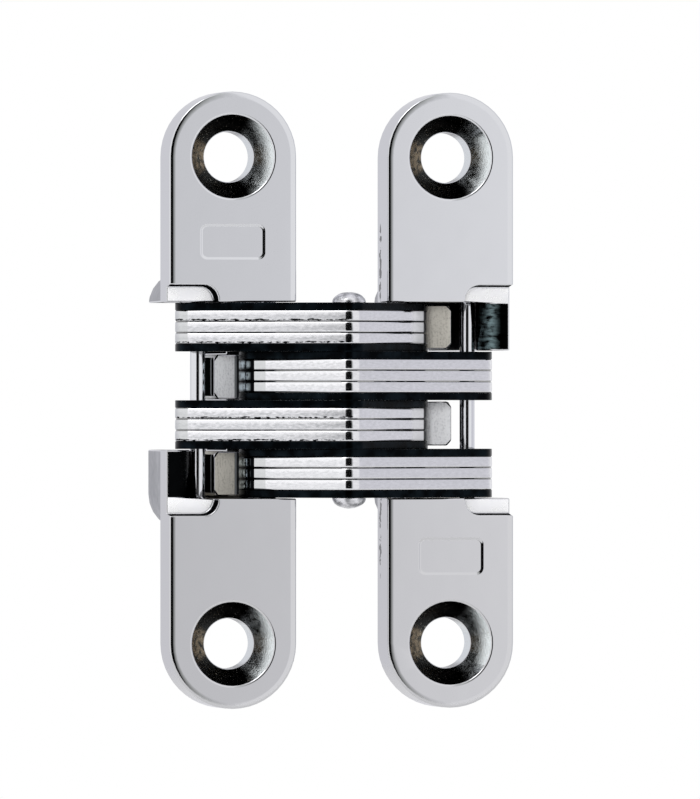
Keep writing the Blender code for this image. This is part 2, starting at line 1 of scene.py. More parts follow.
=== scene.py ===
"""Looks of an invisible hinge: polished leaves, stacked steel links and their pins.

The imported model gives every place, in metres: X runs from the left leaf to the right,
Y into the depth behind the faces, Z up. The origin is the middle of the hinge's box.
Sizes in this file are written in millimetres and turned into metres where a mesh or a
node takes them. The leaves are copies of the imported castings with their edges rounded.
The plates and pins are new surfaces, each worked out by the formula in its function's own
words.
"""

from __future__ import annotations

import json
import logging
import math
from collections.abc import Iterator, Sequence
from contextlib import contextmanager
from dataclasses import dataclass, field
from enum import Enum
from functools import partial

import bmesh
import bpy
import numpy as np
from mathutils import Matrix, Vector

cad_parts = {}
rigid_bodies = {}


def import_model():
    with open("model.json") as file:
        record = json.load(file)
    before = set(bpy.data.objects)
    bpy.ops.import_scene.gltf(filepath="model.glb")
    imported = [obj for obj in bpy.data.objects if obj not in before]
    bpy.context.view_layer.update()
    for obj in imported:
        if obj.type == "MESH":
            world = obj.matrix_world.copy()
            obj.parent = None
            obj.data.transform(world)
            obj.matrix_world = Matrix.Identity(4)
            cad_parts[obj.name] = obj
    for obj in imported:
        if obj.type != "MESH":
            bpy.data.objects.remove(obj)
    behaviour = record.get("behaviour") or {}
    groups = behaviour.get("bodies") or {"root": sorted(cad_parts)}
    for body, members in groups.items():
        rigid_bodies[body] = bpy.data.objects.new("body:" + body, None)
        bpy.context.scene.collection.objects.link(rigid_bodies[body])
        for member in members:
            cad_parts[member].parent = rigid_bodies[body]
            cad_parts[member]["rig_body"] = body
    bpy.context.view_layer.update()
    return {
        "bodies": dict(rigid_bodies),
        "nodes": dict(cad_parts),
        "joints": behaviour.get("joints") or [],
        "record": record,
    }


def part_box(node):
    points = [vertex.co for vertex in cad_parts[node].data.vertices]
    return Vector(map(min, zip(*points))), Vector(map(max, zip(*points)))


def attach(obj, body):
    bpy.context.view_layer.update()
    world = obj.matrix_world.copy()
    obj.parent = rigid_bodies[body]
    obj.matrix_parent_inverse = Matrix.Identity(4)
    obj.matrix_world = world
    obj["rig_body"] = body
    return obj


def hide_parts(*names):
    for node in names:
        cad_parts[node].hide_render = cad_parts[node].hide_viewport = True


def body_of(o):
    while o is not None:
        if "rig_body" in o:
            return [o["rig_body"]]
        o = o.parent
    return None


LOG = logging.getLogger("invisible_hinge")
MM = 0.001
FULL_TURN = 2.0 * math.pi
QUARTER_TURN = 0.5 * math.pi
# Most of a noise's values lie between these.
MIDDLES = (0.3, 0.7)
WHITE = (1.0, 1.0, 1.0, 1.0)
MODES = {
    "Attribute": "attribute_name",
    "MapRange": "interpolation_type",
    "Math": "operation",
    "Mix": "data_type",
    "VectorMath": "operation",
}


def linear(hex_colour: str) -> tuple[float, float, float, float]:
    """Turn an sRGB hex value into linear colour, by the sRGB standard's own curve.

    Args:
        hex_colour: Six digits after a hash sign.

    Returns:
        Linear red, green and blue, and 1 for alpha.
    """
    shares = [int(hex_colour[i : i + 2], 16) / 255 for i in (1, 3, 5)]
    values = [s / 12.92 if s <= 0.04045 else ((s + 0.055) / 1.055) ** 2.4 for s in shares]
    return (values[0], values[1], values[2], 1.0)


def connect(
    tree: bpy.types.NodeTree,
    node: bpy.types.Node,
    **links: bpy.types.NodeSocket | float | Sequence[float],
) -> None:
    """Link or set a node's inputs by name.

    Args:
        tree: The node's tree.
        node: The node.
        links: Input names, with underscores for spaces. A value is a socket to link or a
            plain value.
    """
    for name, value in links.items():
        socket = node.inputs[name.replace("_", " ")]
        if isinstance(value, bpy.types.NodeSocket):
            tree.links.new(value, socket)
        else:
            socket.default_value = value


def add_node(
    tree: bpy.types.NodeTree,
    kind: str,
    *values: bpy.types.NodeSocket | float | Sequence[float],
    output: str = "",
    **links: bpy.types.NodeSocket | float | Sequence[float],
) -> bpy.types.NodeSocket | None:
    """Add a node with its mode, values and links.

    Args:
        tree: The tree that gets the node.
        kind: The node's type name after ShaderNode and, after a colon, its mode, such as
            Math:ADD. MODES names the property that the mode sets.
        values: The inputs in use, in order: sockets to link, or plain values.
        output: The name of the wanted output, else the first one in use.
        links: More inputs, by name.

    Returns:
        The output's socket, or nothing for a node that has none.
    """
    kind, _, mode = kind.partition(":")
    node = tree.nodes.new(f"ShaderNode{kind}")
    if mode:
        setattr(node, MODES[kind], mode)
    inputs = [socket for socket in node.inputs if socket.enabled]
    for socket, value in zip(inputs, values):
        if isinstance(value, bpy.types.NodeSocket):
            tree.links.new(value, socket)
        else:
            socket.default_value = value
    connect(tree, node, **links)
    if output:
        return node.outputs[output]
    return next((socket for socket in node.outputs if socket.enabled), None)


def place_along(tree: bpy.types.NodeTree, axis: str) -> bpy.types.NodeSocket:
    """Return the place along one axis of the piece, in millimetres."""
    place = add_node(tree, "TexCoord", output="Object")
    return add_node(tree, "Math:DIVIDE", add_node(tree, "SeparateXYZ", place, output=axis), MM)


@dataclass(frozen=True)
class Grain:
    """A noise pattern on a piece: one grain's size in millimetres, and how it varies.

    The stretch is how much longer a grain is along X, Y and Z. The detail is how many
    finer layers it has. The shift moves it, so that two patterns of one size differ.
    """

    size: float
    stretch: tuple[float, float, float] = (1.0, 1.0, 1.0)
    detail: float = 3.0
    shift: float = 0.0

    def add(self, tree: bpy.types.NodeTree) -> bpy.types.NodeSocket:
        """Return the pattern's value, mostly within MIDDLES."""
        place = add_node(tree, "TexCoord", output="Object")
        scale = tuple(1.0 / (self.size * MM * share) for share in self.stretch)
        moved = add_node(tree, "Mapping", place, Scale=scale, Location=(self.shift,) * 3)
        return add_node(tree, "TexNoise", moved, 1.0, self.detail)


@dataclass(frozen=True)
class Coat:
    """A finish: one named material, with the nodes that its own class lays out.

    Colours are sRGB, depths and places are in millimetres.
    """

    name: str

    def material(self) -> bpy.types.Material:
        """Return the finish's new material."""
        material = bpy.data.materials.new(self.name)
        material.use_nodes = True
        shader = material.node_tree.nodes["Principled BSDF"]
        shader.inputs["Metallic"].default_value = 1.0
        self.lay(material.node_tree, shader)
        return material

    def lay(self, tree: bpy.types.NodeTree, shader: bpy.types.Node) -> None:
        """Lay out the finish's nodes and link them to its shader.

        Args:
            tree: The material's tree.
            shader: Its Principled shader.
        """
        raise NotImplementedError


@dataclass(frozen=True)
class MottledMetal(Coat):
    """A metal skin that drifts between two tones, with a haze and a fine relief."""

    tones: tuple[str, str]
    mottle: Grain
    relief: Grain
    depth: float
    roughness: tuple[float, float]
    haze: Grain | None = None
    tone_range: tuple[float, float] = MIDDLES
    metallic: float = 1.0

    def lay(self, tree: bpy.types.NodeTree, shader: bpy.types.Node) -> None:
        """Lay out the two tones, the haze and the relief.

        Args:
            tree: The material's tree.
            shader: Its Principled shader.
        """
        add = partial(add_node, tree)
        low, high = (linear(tone) for tone in self.tones)
        share = add("MapRange", self.mottle.add(tree), *self.tone_range)
        rough = self.roughness[0]
        if self.haze:
            rough = add("MapRange", self.haze.add(tree), *MIDDLES, *self.roughness)
        relief = add("Bump", 1.0, self.depth * MM, Height=self.relief.add(tree))
        colour = add("Mix:RGBA", share, low, high)
        connect(tree, shader, Base_Color=colour, Metallic=self.metallic, Roughness=rough, Normal=relief)


@dataclass(frozen=True)
class MirrorPlate(Coat):
    """Polished plate on the faces: a faint swell, a haze of wiping marks, greyer low down.

    A ragged dark line of painted shade runs along the right leaf's inner side.
    """

    name: str = "polished_chrome_plate"
    tones: tuple[str, str] = ("#D9DADE", "#D0D0D3")
    tone_heights: tuple[float, float] = (5.0, -14.0)
    wiping: Grain = Grain(5.0, (0.5, 1.0, 2.0))
    wiping_range: tuple[float, float] = (0.35, 0.7)
    roughness: tuple[float, float] = (0.03, 0.06)
    swell: Grain = Grain(2.2, detail=0.0)
    swell_depth: float = 0.0015
    # Painted shade: a ragged dark line along the right leaf's inner side.
    shade_line_tone: str = "#191A1C"
    shade_line_grain: Grain = Grain(0.9, (1.0, 1.0, 0.7), 4.0, 2.5)
    shade_line_range: tuple[float, float] = (0.42, 0.6)
    shade_line_half: float = 0.55
    shade_line_side: tuple[float, float] = (4.4, 4.7)
    shade_line_place: float = -3.0
    shade_line_heights: tuple[float, float] = (17.6, 16.0)

    def lay(self, tree: bpy.types.NodeTree, shader: bpy.types.Node) -> None:
        """Lay out the plate's tones, the painted shade line, the haze and the swell.

        Args:
            tree: The material's tree.
            shader: Its Principled shader.
        """
        add = partial(add_node, tree)
        high, low = (linear(tone) for tone in self.tones)
        low_down = add("MapRange:SMOOTHSTEP", place_along(tree, "Z"), *self.tone_heights)
        colour = add("Mix:RGBA", low_down, high, low)
        colour = add("Mix:RGBA", self.shade_line_share(tree), colour, linear(self.shade_line_tone))
        rough = add("MapRange", self.wiping.add(tree), *self.wiping_range, *self.roughness)
        swell = add("Bump", 1.0, self.swell_depth * MM, Height=self.swell.add(tree))
        connect(tree, shader, Base_Color=colour, Roughness=rough, Normal=swell)

    def shade_line_share(self, tree: bpy.types.NodeTree) -> bpy.types.NodeSocket:
        """Return the share of the ragged line of painted shade.

        Args:
            tree: The tree that gets the nodes.

        Returns:
            The share's socket, 1 on the line.
        """
        add = partial(add_node, tree)
        side = place_along(tree, "X")
        within = add("Math:LESS_THAN", side, self.shade_line_side[1])
        inner = add("Math:MULTIPLY", add("Math:GREATER_THAN", side, self.shade_line_side[0]), within)
        off_line = add("Math:ABSOLUTE", add("Math:SUBTRACT", place_along(tree, "Y"), self.shade_line_place))
        half_line = add("MapRange", self.shade_line_grain.add(tree), *self.shade_line_range, 0.0, self.shade_line_half)
        near = add("MapRange", add("Math:ABSOLUTE", place_along(tree, "Z")), *self.shade_line_heights)
        on_line = add("Math:LESS_THAN", off_line, add("Math:MULTIPLY", half_line, near))
        return add("Math:MULTIPLY", on_line, inner)


@dataclass(frozen=True)
class BlastedWeb(Coat):
    """The webs' blasted skin: pale grey, warmer on the outer webs, with pits and file lines."""

    name: str = "sand_cast_web"
    cool: tuple[str, str] = ("#D3D4D8", "#F1F2F5")
    warm: tuple[str, str] = ("#AEAAA1", "#CECAC1")
    warm_from: float = 4.9
    pits: Grain = Grain(0.2, detail=2.0)
    pit_share: float = 0.7
    lines: Grain = Grain(0.16, (1.0, 1.0, 9.0), shift=2.0)
    line_share: float = 0.5
    tone_range: tuple[float, float] = (0.42, 0.62)
    roughness: float = 0.6
    depth: float = 0.004

    def lay(self, tree: bpy.types.NodeTree, shader: bpy.types.Node) -> None:
        """Lay out the pits and lines, and the tones that follow them.

        Args:
            tree: The material's tree.
            shader: Its Principled shader.
        """
        add = partial(add_node, tree)
        pits = add("Math:MULTIPLY", self.pits.add(tree), self.pit_share)
        relief = add("Math:ADD", pits, add("Math:MULTIPLY", self.lines.add(tree), self.line_share))
        share = add("MapRange", relief, *self.tone_range)
        cool, warm = (
            add("Mix:RGBA", share, linear(low), linear(high)) for low, high in (self.cool, self.warm)
        )
        height = add("Math:ABSOLUTE", place_along(tree, "Z"))
        colour = add("Mix:RGBA", add("Math:GREATER_THAN", height, self.warm_from), cool, warm)
        dents = add("Bump", 1.0, self.depth * MM, Height=relief)
        connect(tree, shader, Base_Color=colour, Metallic=0.0, Roughness=self.roughness, Normal=dents)


@dataclass(frozen=True)
class PaintedShadeStep(Coat):
    """Flat black painted shade on the webs' sides and the recess's wall, with one grey tool line on the
    web.
    """

    name: str = "painted_shade_step"
    # Painted shade: flat black with no specular reflection.
    shade_black: str = "#060607"
    mark: str = "#85888C"
    mark_place: float = -0.3
    mark_edge: tuple[float, float] = (0.32, 0.2)
    grain: Grain = Grain(0.3, detail=2.0)
    roughness: tuple[float, float] = (0.4, 0.6)

    def lay(self, tree: bpy.types.NodeTree, shader: bpy.types.Node) -> None:
        """Lay out the tool line and the grain of the roughness.

        Args:
            tree: The material's tree.
            shader: Its Principled shader.
        """
        add = partial(add_node, tree)
        off_line = add("Math:ABSOLUTE", add("Math:SUBTRACT", place_along(tree, "Y"), self.mark_place))
        on_line = add("MapRange", off_line, *self.mark_edge)
        colour = add("Mix:RGBA", on_line, linear(self.shade_black), linear(self.mark))
        rough = add("MapRange", self.grain.add(tree), *MIDDLES, *self.roughness)
        connect(tree, shader, Base_Color=colour, Metallic=0.0, Specular_IOR_Level=0.0, Roughness=rough)


@dataclass(frozen=True)
class PaintedScoop(Coat):
    """Scoop in the kept wall: black painted shade, with a blue-green painted sheen beside the right leaf's
    pin.
    """

    name: str = "scoop_painted_shade_and_sheen"
    # Painted shade: the scoop's black; painted sheen: the blue-green near the right leaf's pin.
    painted_shading: str = "#070809"
    sheen: str = "#93ABB0"
    sheen_place: float = 15.1
    sheen_edge: tuple[float, float] = (1.3, 0.3)
    streaks: Grain = Grain(0.4, (2.0, 2.0, 0.8), 5.0)
    sheen_range: tuple[float, float] = (0.36, 0.66)
    rough_range: tuple[float, float] = (0.4, 0.7)
    roughness: tuple[float, float] = (0.22, 0.5)
    depth: float = 0.01

    def lay(self, tree: bpy.types.NodeTree, shader: bpy.types.Node) -> None:
        """Lay out the streaks and the painted sheen that they break up.

        Args:
            tree: The material's tree.
            shader: Its Principled shader.
        """
        add = partial(add_node, tree)
        streaks = self.streaks.add(tree)
        off_sheen = add("Math:ABSOLUTE", add("Math:SUBTRACT", place_along(tree, "X"), self.sheen_place))
        near = add("MapRange", off_sheen, *self.sheen_edge)
        share = add("Math:MULTIPLY", near, add("MapRange", streaks, *self.sheen_range))
        colour = add("Mix:RGBA", share, linear(self.painted_shading), linear(self.sheen))
        rough = add("MapRange", streaks, *self.rough_range, *self.roughness)
        dents = add("Bump", 1.0, self.depth * MM, Height=streaks)
        connect(tree, shader, Base_Color=colour, Roughness=rough, Normal=dents)


@dataclass(frozen=True)
class BareSink(Coat):
    """Machined countersink: near black as painted dark reflection, a painted highlight at its right,
    brownish at its far left, specked.

    Its point value, sink_side, runs from -1 at a hole's left to 1 at its right.
    """

    name: str = "machined_countersink"
    # Painted dark reflection over the whole sink, and a painted highlight at its right.
    dark: str = "#0F0E0D"
    painted_highlight: str = "#E6ECEE"
    highlight_side: tuple[float, float] = (0.35, 0.75)
    brown: str = "#8A7862"
    brown_side: tuple[float, float] = (-0.85, -0.97)
    brown_grain: Grain = Grain(0.5, shift=1.5)
    brown_range: tuple[float, float] = (0.36, 0.56)
    speck: str = "#B9B3A8"
    speck_grain: Grain = Grain(0.16, detail=2.0)
    speck_range: tuple[float, float] = (0.66, 0.72)
    haze: Grain = Grain(0.5, shift=3.0)
    roughness: tuple[float, float] = (0.1, 0.2)
    chatter: Grain = Grain(0.22, (1.0, 0.35, 1.0), shift=6.0)
    depth: float = 0.006

    def lay(self, tree: bpy.types.NodeTree, shader: bpy.types.Node) -> None:
        """Lay out the tones by side, with the painted dark reflection and highlight, the specks, and the
        cutter's chatter marks.

        Args:
            tree: The material's tree.
            shader: Its Principled shader.
        """
        add = partial(add_node, tree)
        side = add("Attribute:sink_side", output="Fac")
        right = add("MapRange:SMOOTHSTEP", side, *self.highlight_side)
        left = add("MapRange:SMOOTHSTEP", side, *self.brown_side)
        colour = add("Mix:RGBA", right, linear(self.dark), linear(self.painted_highlight))
        browned = add("Math:MULTIPLY", left, add("MapRange", self.brown_grain.add(tree), *self.brown_range))
        colour = add("Mix:RGBA", browned, colour, linear(self.brown))
        specked = add("MapRange", self.speck_grain.add(tree), *self.speck_range)
        colour = add("Mix:RGBA", specked, colour, linear(self.speck))
        rough = add("MapRange", self.haze.add(tree), *MIDDLES, *self.roughness)
        dents = add("Bump", 1.0, self.depth * MM, Height=self.chatter.add(tree))
        connect(tree, shader, Base_Color=colour, Roughness=rough, Normal=dents)


@dataclass(frozen=True)
class ShearedSteel(Coat):
    """Edges of the bright plates: fine shear lines, painted shade at the rims and at set A's right ends, a
    painted highlight on the left plates' upper part, and painted shade with a bluish painted highlight
    round set B's fixed eyes.

    A plate has three point values. Across runs from -1 at the lower rim to 1 at the upper
    one, and is 2 in a bore. Burr is 1 where the lower rim is torn. Eye is 0 on link set A,
    and on link set B it is 1 round the fixed eye and 0.5 elsewhere.
    """

    name: str = "bright_sheared_steel"
    left_tones: tuple[str, str] = ("#C8C9CD", "#EAEAEE")
    clean: tuple[str, str] = ("#DADADE", "#E6E6EA")
    # Painted highlight: the left plates lighten towards their upper rim, set B's by at least lit_set_b.
    lit: str = "#FAFAFD"
    lit_range: tuple[float, float] = (0.4, 1.0)
    lit_mottle: float = 0.8
    lit_set_b: float = 0.35
    mottle: Grain = Grain(0.17, (3.0, 3.0, 1.0), 4.0, 3.0)
    dull: str = "#CDCFD0"
    dull_share: float = 0.75
    dull_neck: tuple[float, float] = (-7.45, -7.55)
    dull_end: tuple[float, float] = (-14.97, -15.12)
    # Painted shade with a bluish painted highlight, round set B's fixed eyes.
    painted_shading: tuple[str, str] = ("#08090B", "#D5E3EA")
    heel_highlight_grain: Grain = Grain(0.5, shift=12.0)
    heel_highlight_range: tuple[float, float] = (0.34, 0.56)
    heel_highlight_rim: tuple[float, float] = (0.85, 0.35)
    heel_highlight_side: tuple[float, float] = (-8.72, -9.27)
    heel_side: float = -8.35
    # Painted shade: a dark line along each plate's rims, in the gaps between plates.
    rim: str = "#0F1012"
    rim_across: tuple[float, float] = (0.885, 1.06)
    tear: Grain = Grain(0.42, (1.0, 1.0, 0.8), 4.0)
    tear_range: tuple[float, float] = (0.4, 0.64)
    tear_half: float = 0.17
    tear_wander: Grain = Grain(1.1, shift=8.0)
    tear_across: tuple[float, float] = (-0.8, -0.62)
    # Painted shade: a dark outline across set A's right ends.
    end: str = "#1B1C20"
    end_side: tuple[float, float] = (8.57, 8.69)
    satin_share: float = 0.85
    satin_side: tuple[float, float] = (6.9, 7.5)
    set_a_eye: float = 0.25
    fixed_eye: float = 0.75
    shear: Grain = Grain(0.12, (3.0, 3.0, 2.0), 2.0, 5.0)
    roughness: tuple[float, float] = (0.08, 0.12)
    depth: float = 0.0006

    def lay(self, tree: bpy.types.NodeTree, shader: bpy.types.Node) -> None:
        """Lay out the steel, the painted shade and highlight round set B's eyes, the painted shade at the
        rims and ends, and the shear lines.

        Args:
            tree: The material's tree.
            shader: Its Principled shader.
        """
        add = partial(add_node, tree)
        across = add("Attribute:across", output="Fac")
        eye = add("Attribute:eye", output="Fac")
        side = place_along(tree, "X")
        on_left = add("Math:LESS_THAN", side, 0.0)
        set_a = add("Math:LESS_THAN", eye, self.set_a_eye)
        size = add("Math:ABSOLUTE", across)
        steel = self.steel(tree, across, side, on_left, set_a)
        colour = self.painted_heel(tree, steel, size, side, eye)
        torn = add("Math:MULTIPLY", self.torn(tree, across), add("Math:MULTIPLY", on_left, set_a))
        on_rim = add("Math:MAXIMUM", torn, add("Math:GREATER_THAN", size, self.rim_across[0]))
        outside = add("Math:SUBTRACT", 1.0, add("Math:GREATER_THAN", size, self.rim_across[1]))
        colour = add("Mix:RGBA", add("Math:MULTIPLY", on_rim, outside), colour, linear(self.rim))
        ending = add("Math:MULTIPLY", add("MapRange", side, *self.end_side), set_a)
        colour = add("Mix:RGBA", ending, colour, linear(self.end))
        satin = add("MapRange", side, *self.satin_side, 0.0, self.satin_share)
        metallic = add("Math:SUBTRACT", 1.0, add("Math:MULTIPLY", satin, set_a))
        shear = self.shear.add(tree)
        rough = add("MapRange", shear, *MIDDLES, *self.roughness)
        dents = add("Bump", 1.0, self.depth * MM, Height=shear)
        connect(tree, shader, Base_Color=colour, Metallic=metallic, Roughness=rough, Normal=dents)

    def steel(
        self,
        tree: bpy.types.NodeTree,
        across: bpy.types.NodeSocket,
        side: bpy.types.NodeSocket,
        on_left: bpy.types.NodeSocket,
        set_a: bpy.types.NodeSocket,
    ) -> bpy.types.NodeSocket:
        """Return the steel's tones, with a painted highlight on the left plates' upper part.

        Args:
            tree: The tree that gets the nodes.
            across: The place between a plate's rims.
            side: The place along X.
            on_left: 1 left of the centre pin.
            set_a: 1 on link set A.

        Returns:
            The colour's socket.
        """
        add = partial(add_node, tree)
        mottle = self.mottle.add(tree)
        share = add("MapRange", mottle, *MIDDLES)
        left_tones, clean = (
            add("Mix:RGBA", share, linear(low), linear(high)) for low, high in (self.left_tones, self.clean)
        )
        raised = add("Math:ADD", across, add("Math:MULTIPLY", mottle, self.lit_mottle))
        upper = add("MapRange", raised, *self.lit_range)
        upper = add("Math:MAXIMUM", upper, add("MapRange", set_a, 0.0, 1.0, self.lit_set_b, 0.0))
        colour = add("Mix:RGBA", on_left, clean, add("Mix:RGBA", upper, left_tones, linear(self.lit)))
        set_b = add("Math:SUBTRACT", 1.0, set_a)
        neck = add("Math:MULTIPLY", set_b, add("MapRange", side, *self.dull_neck))
        dull = add("Math:MAXIMUM", neck, add("MapRange", side, *self.dull_end))
        return add("Mix:RGBA", add("Math:MULTIPLY", dull, self.dull_share), colour, linear(self.dull))

    def painted_heel(
        self,
        tree: bpy.types.NodeTree,
        steel: bpy.types.NodeSocket,
        size: bpy.types.NodeSocket,
        side: bpy.types.NodeSocket,
        eye: bpy.types.NodeSocket,
    ) -> bpy.types.NodeSocket:
        """Return the colour with painted shade and a bluish painted highlight over the outer half of set
        B's left eyes.

        Args:
            tree: The tree that gets the nodes.
            steel: The steel's own colour.
            size: How near a plate's rim is, 1 at the rim.
            side: The place along X.
            eye: The plates' point value.

        Returns:
            The colour's socket.
        """
        add = partial(add_node, tree)
        blot = add("MapRange", self.heel_highlight_grain.add(tree), *self.heel_highlight_range)
        inner = add("Math:MULTIPLY", add("MapRange", size, *self.heel_highlight_rim), blot)
        thin = add("Math:MULTIPLY", inner, add("MapRange", side, *self.heel_highlight_side))
        painted_shading = add("Mix:RGBA", thin, linear(self.painted_shading[0]), linear(self.painted_shading[1]))
        before = add("Math:SUBTRACT", 1.0, add("Math:GREATER_THAN", side, self.heel_side))
        heel = add("Math:MULTIPLY", add("Math:GREATER_THAN", eye, self.fixed_eye), before)
        return add("Mix:RGBA", heel, steel, painted_shading)

    def torn(self, tree: bpy.types.NodeTree, across: bpy.types.NodeSocket) -> bpy.types.NodeSocket:
        """Return the share of the ragged break that wanders above a torn lower rim.

        Args:
            tree: The tree that gets the nodes.
            across: The place between a plate's rims.

        Returns:
            The share's socket, 1 on the break.
        """
        add = partial(add_node, tree)
        half_line = add("MapRange", self.tear.add(tree), *self.tear_range, 0.0, self.tear_half)
        half_line = add("Math:MULTIPLY", half_line, add("Attribute:burr", output="Fac"))
        middle = add("MapRange", self.tear_wander.add(tree), *MIDDLES, *self.tear_across)
        off_line = add("Math:ABSOLUTE", add("Math:SUBTRACT", across, middle))
        return add("Math:LESS_THAN", off_line, half_line)


@dataclass(frozen=True)
class DrawnWire(Coat):
    """Pin wire: bright, with fine draw lines along its length."""

    name: str = "drawn_steel_pin"
    tone: str = "#DDDEE3"
    lines: Grain = Grain(0.08, (1.0, 1.0, 60.0), 1.0)
    roughness: tuple[float, float] = (0.06, 0.14)

    def lay(self, tree: bpy.types.NodeTree, shader: bpy.types.Node) -> None:
        """Lay out the draw lines."""
        rough = add_node(tree, "MapRange", self.lines.add(tree), *MIDDLES, *self.roughness)
        connect(tree, shader, Base_Color=linear(self.tone), Roughness=rough)


class Finish(Enum):
    """The surface finishes, each with its coat."""

    CHROME = MirrorPlate()
    # Unpolished zinc of the housing: grey, softly mottled, with the mould's fine grain.
    CAST = MottledMetal(
        "dull_cast_zinc",
        tones=("#94959A", "#ABACB1"),
        mottle=Grain(3.0),
        relief=Grain(0.35, detail=2.0, shift=9.0),
        depth=0.006,
        roughness=(0.32, 0.46),
        haze=Grain(0.8, shift=4.0),
    )
    SINK = BareSink()
    WEB = BlastedWeb()
    # The pocket's walls: unpolished, and painted dark as the shade deep inside the pocket, with a coarse
    # grain.
    POCKET = MottledMetal(
        "cast_pocket_painted_shade",
        tones=("#1E2022", "#3A3D40"),
        mottle=Grain(1.2),
        relief=Grain(0.3, detail=2.0, shift=9.0),
        depth=0.01,
        roughness=(0.4, 0.4),
    )
    # Plated but unpolished floor of the face's recess: brighter and softer than the face.
    RECESS = MottledMetal(
        "satin_plated_recess",
        tones=("#F6F6FA", "#FEFEFF"),
        mottle=Grain(1.2),
        relief=Grain(0.3, detail=2.0, shift=2.0),
        depth=0.0006,
        roughness=(0.22, 0.3),
        haze=Grain(1.2),
        metallic=0.45,
    )
    SCOOP = PaintedScoop()
    SHADE = PaintedShadeStep()
    BRIGHT = ShearedSteel()
    # The side plates: near black, with a faint teal painted reflection in patches.
    BLACK = MottledMetal(
        "black_oxide_steel",
        tones=("#07090B", "#141B20"),
        mottle=Grain(1.4),
        relief=Grain(0.4, shift=2.0),
        depth=0.002,
        roughness=(0.18, 0.32),
        haze=Grain(0.4, shift=2.0),
        tone_range=(0.4, 0.7),
    )
    PIN = DrawnWire()
    # Hammered rivet heads: mottled grey steel.
    HEAD = MottledMetal(
        "riveted_pin_head",
        tones=("#97989B", "#E9E9EE"),
        mottle=Grain(0.7),
        relief=Grain(0.3, shift=7.0),
        depth=0.01,
        roughness=(0.16, 0.34),
        haze=Grain(0.3, shift=7.0),
        tone_range=(0.38, 0.62),
    )


class Finishes:
    """Makes each finish's material once and hands it out."""

    def __init__(self) -> None:
        """Start with no material made."""
        self.made: dict[Finish, bpy.types.Material] = {}

    def get(self, finish: Finish) -> bpy.types.Material:
        """Return a finish's material, making it the first time."""
        if finish not in self.made:
            self.made[finish] = finish.value.material()
        return self.made[finish]


@dataclass(frozen=True)
class Lamp:
    """A round lamp that faces the hinge: its place and diameter in metres, power in watts."""

    name: str
    place: tuple[float, float, float]
    size: float
    power: float
    mirrored: bool = True

    def hang(self) -> None:
        """Put the lamp in the scene."""
        data = bpy.data.lights.new(self.name, "AREA")
        data.shape = "DISK"
        data.size = self.size
        data.energy = self.power
        lamp = bpy.data.objects.new(self.name, data)
        lamp.location = self.place
        lamp.rotation_mode = "QUATERNION"
        lamp.rotation_quaternion = (-Vector(self.place)).to_track_quat("-Z", "Y")
        lamp.visible_glossy = self.mirrored
        bpy.context.scene.collection.objects.link(lamp)


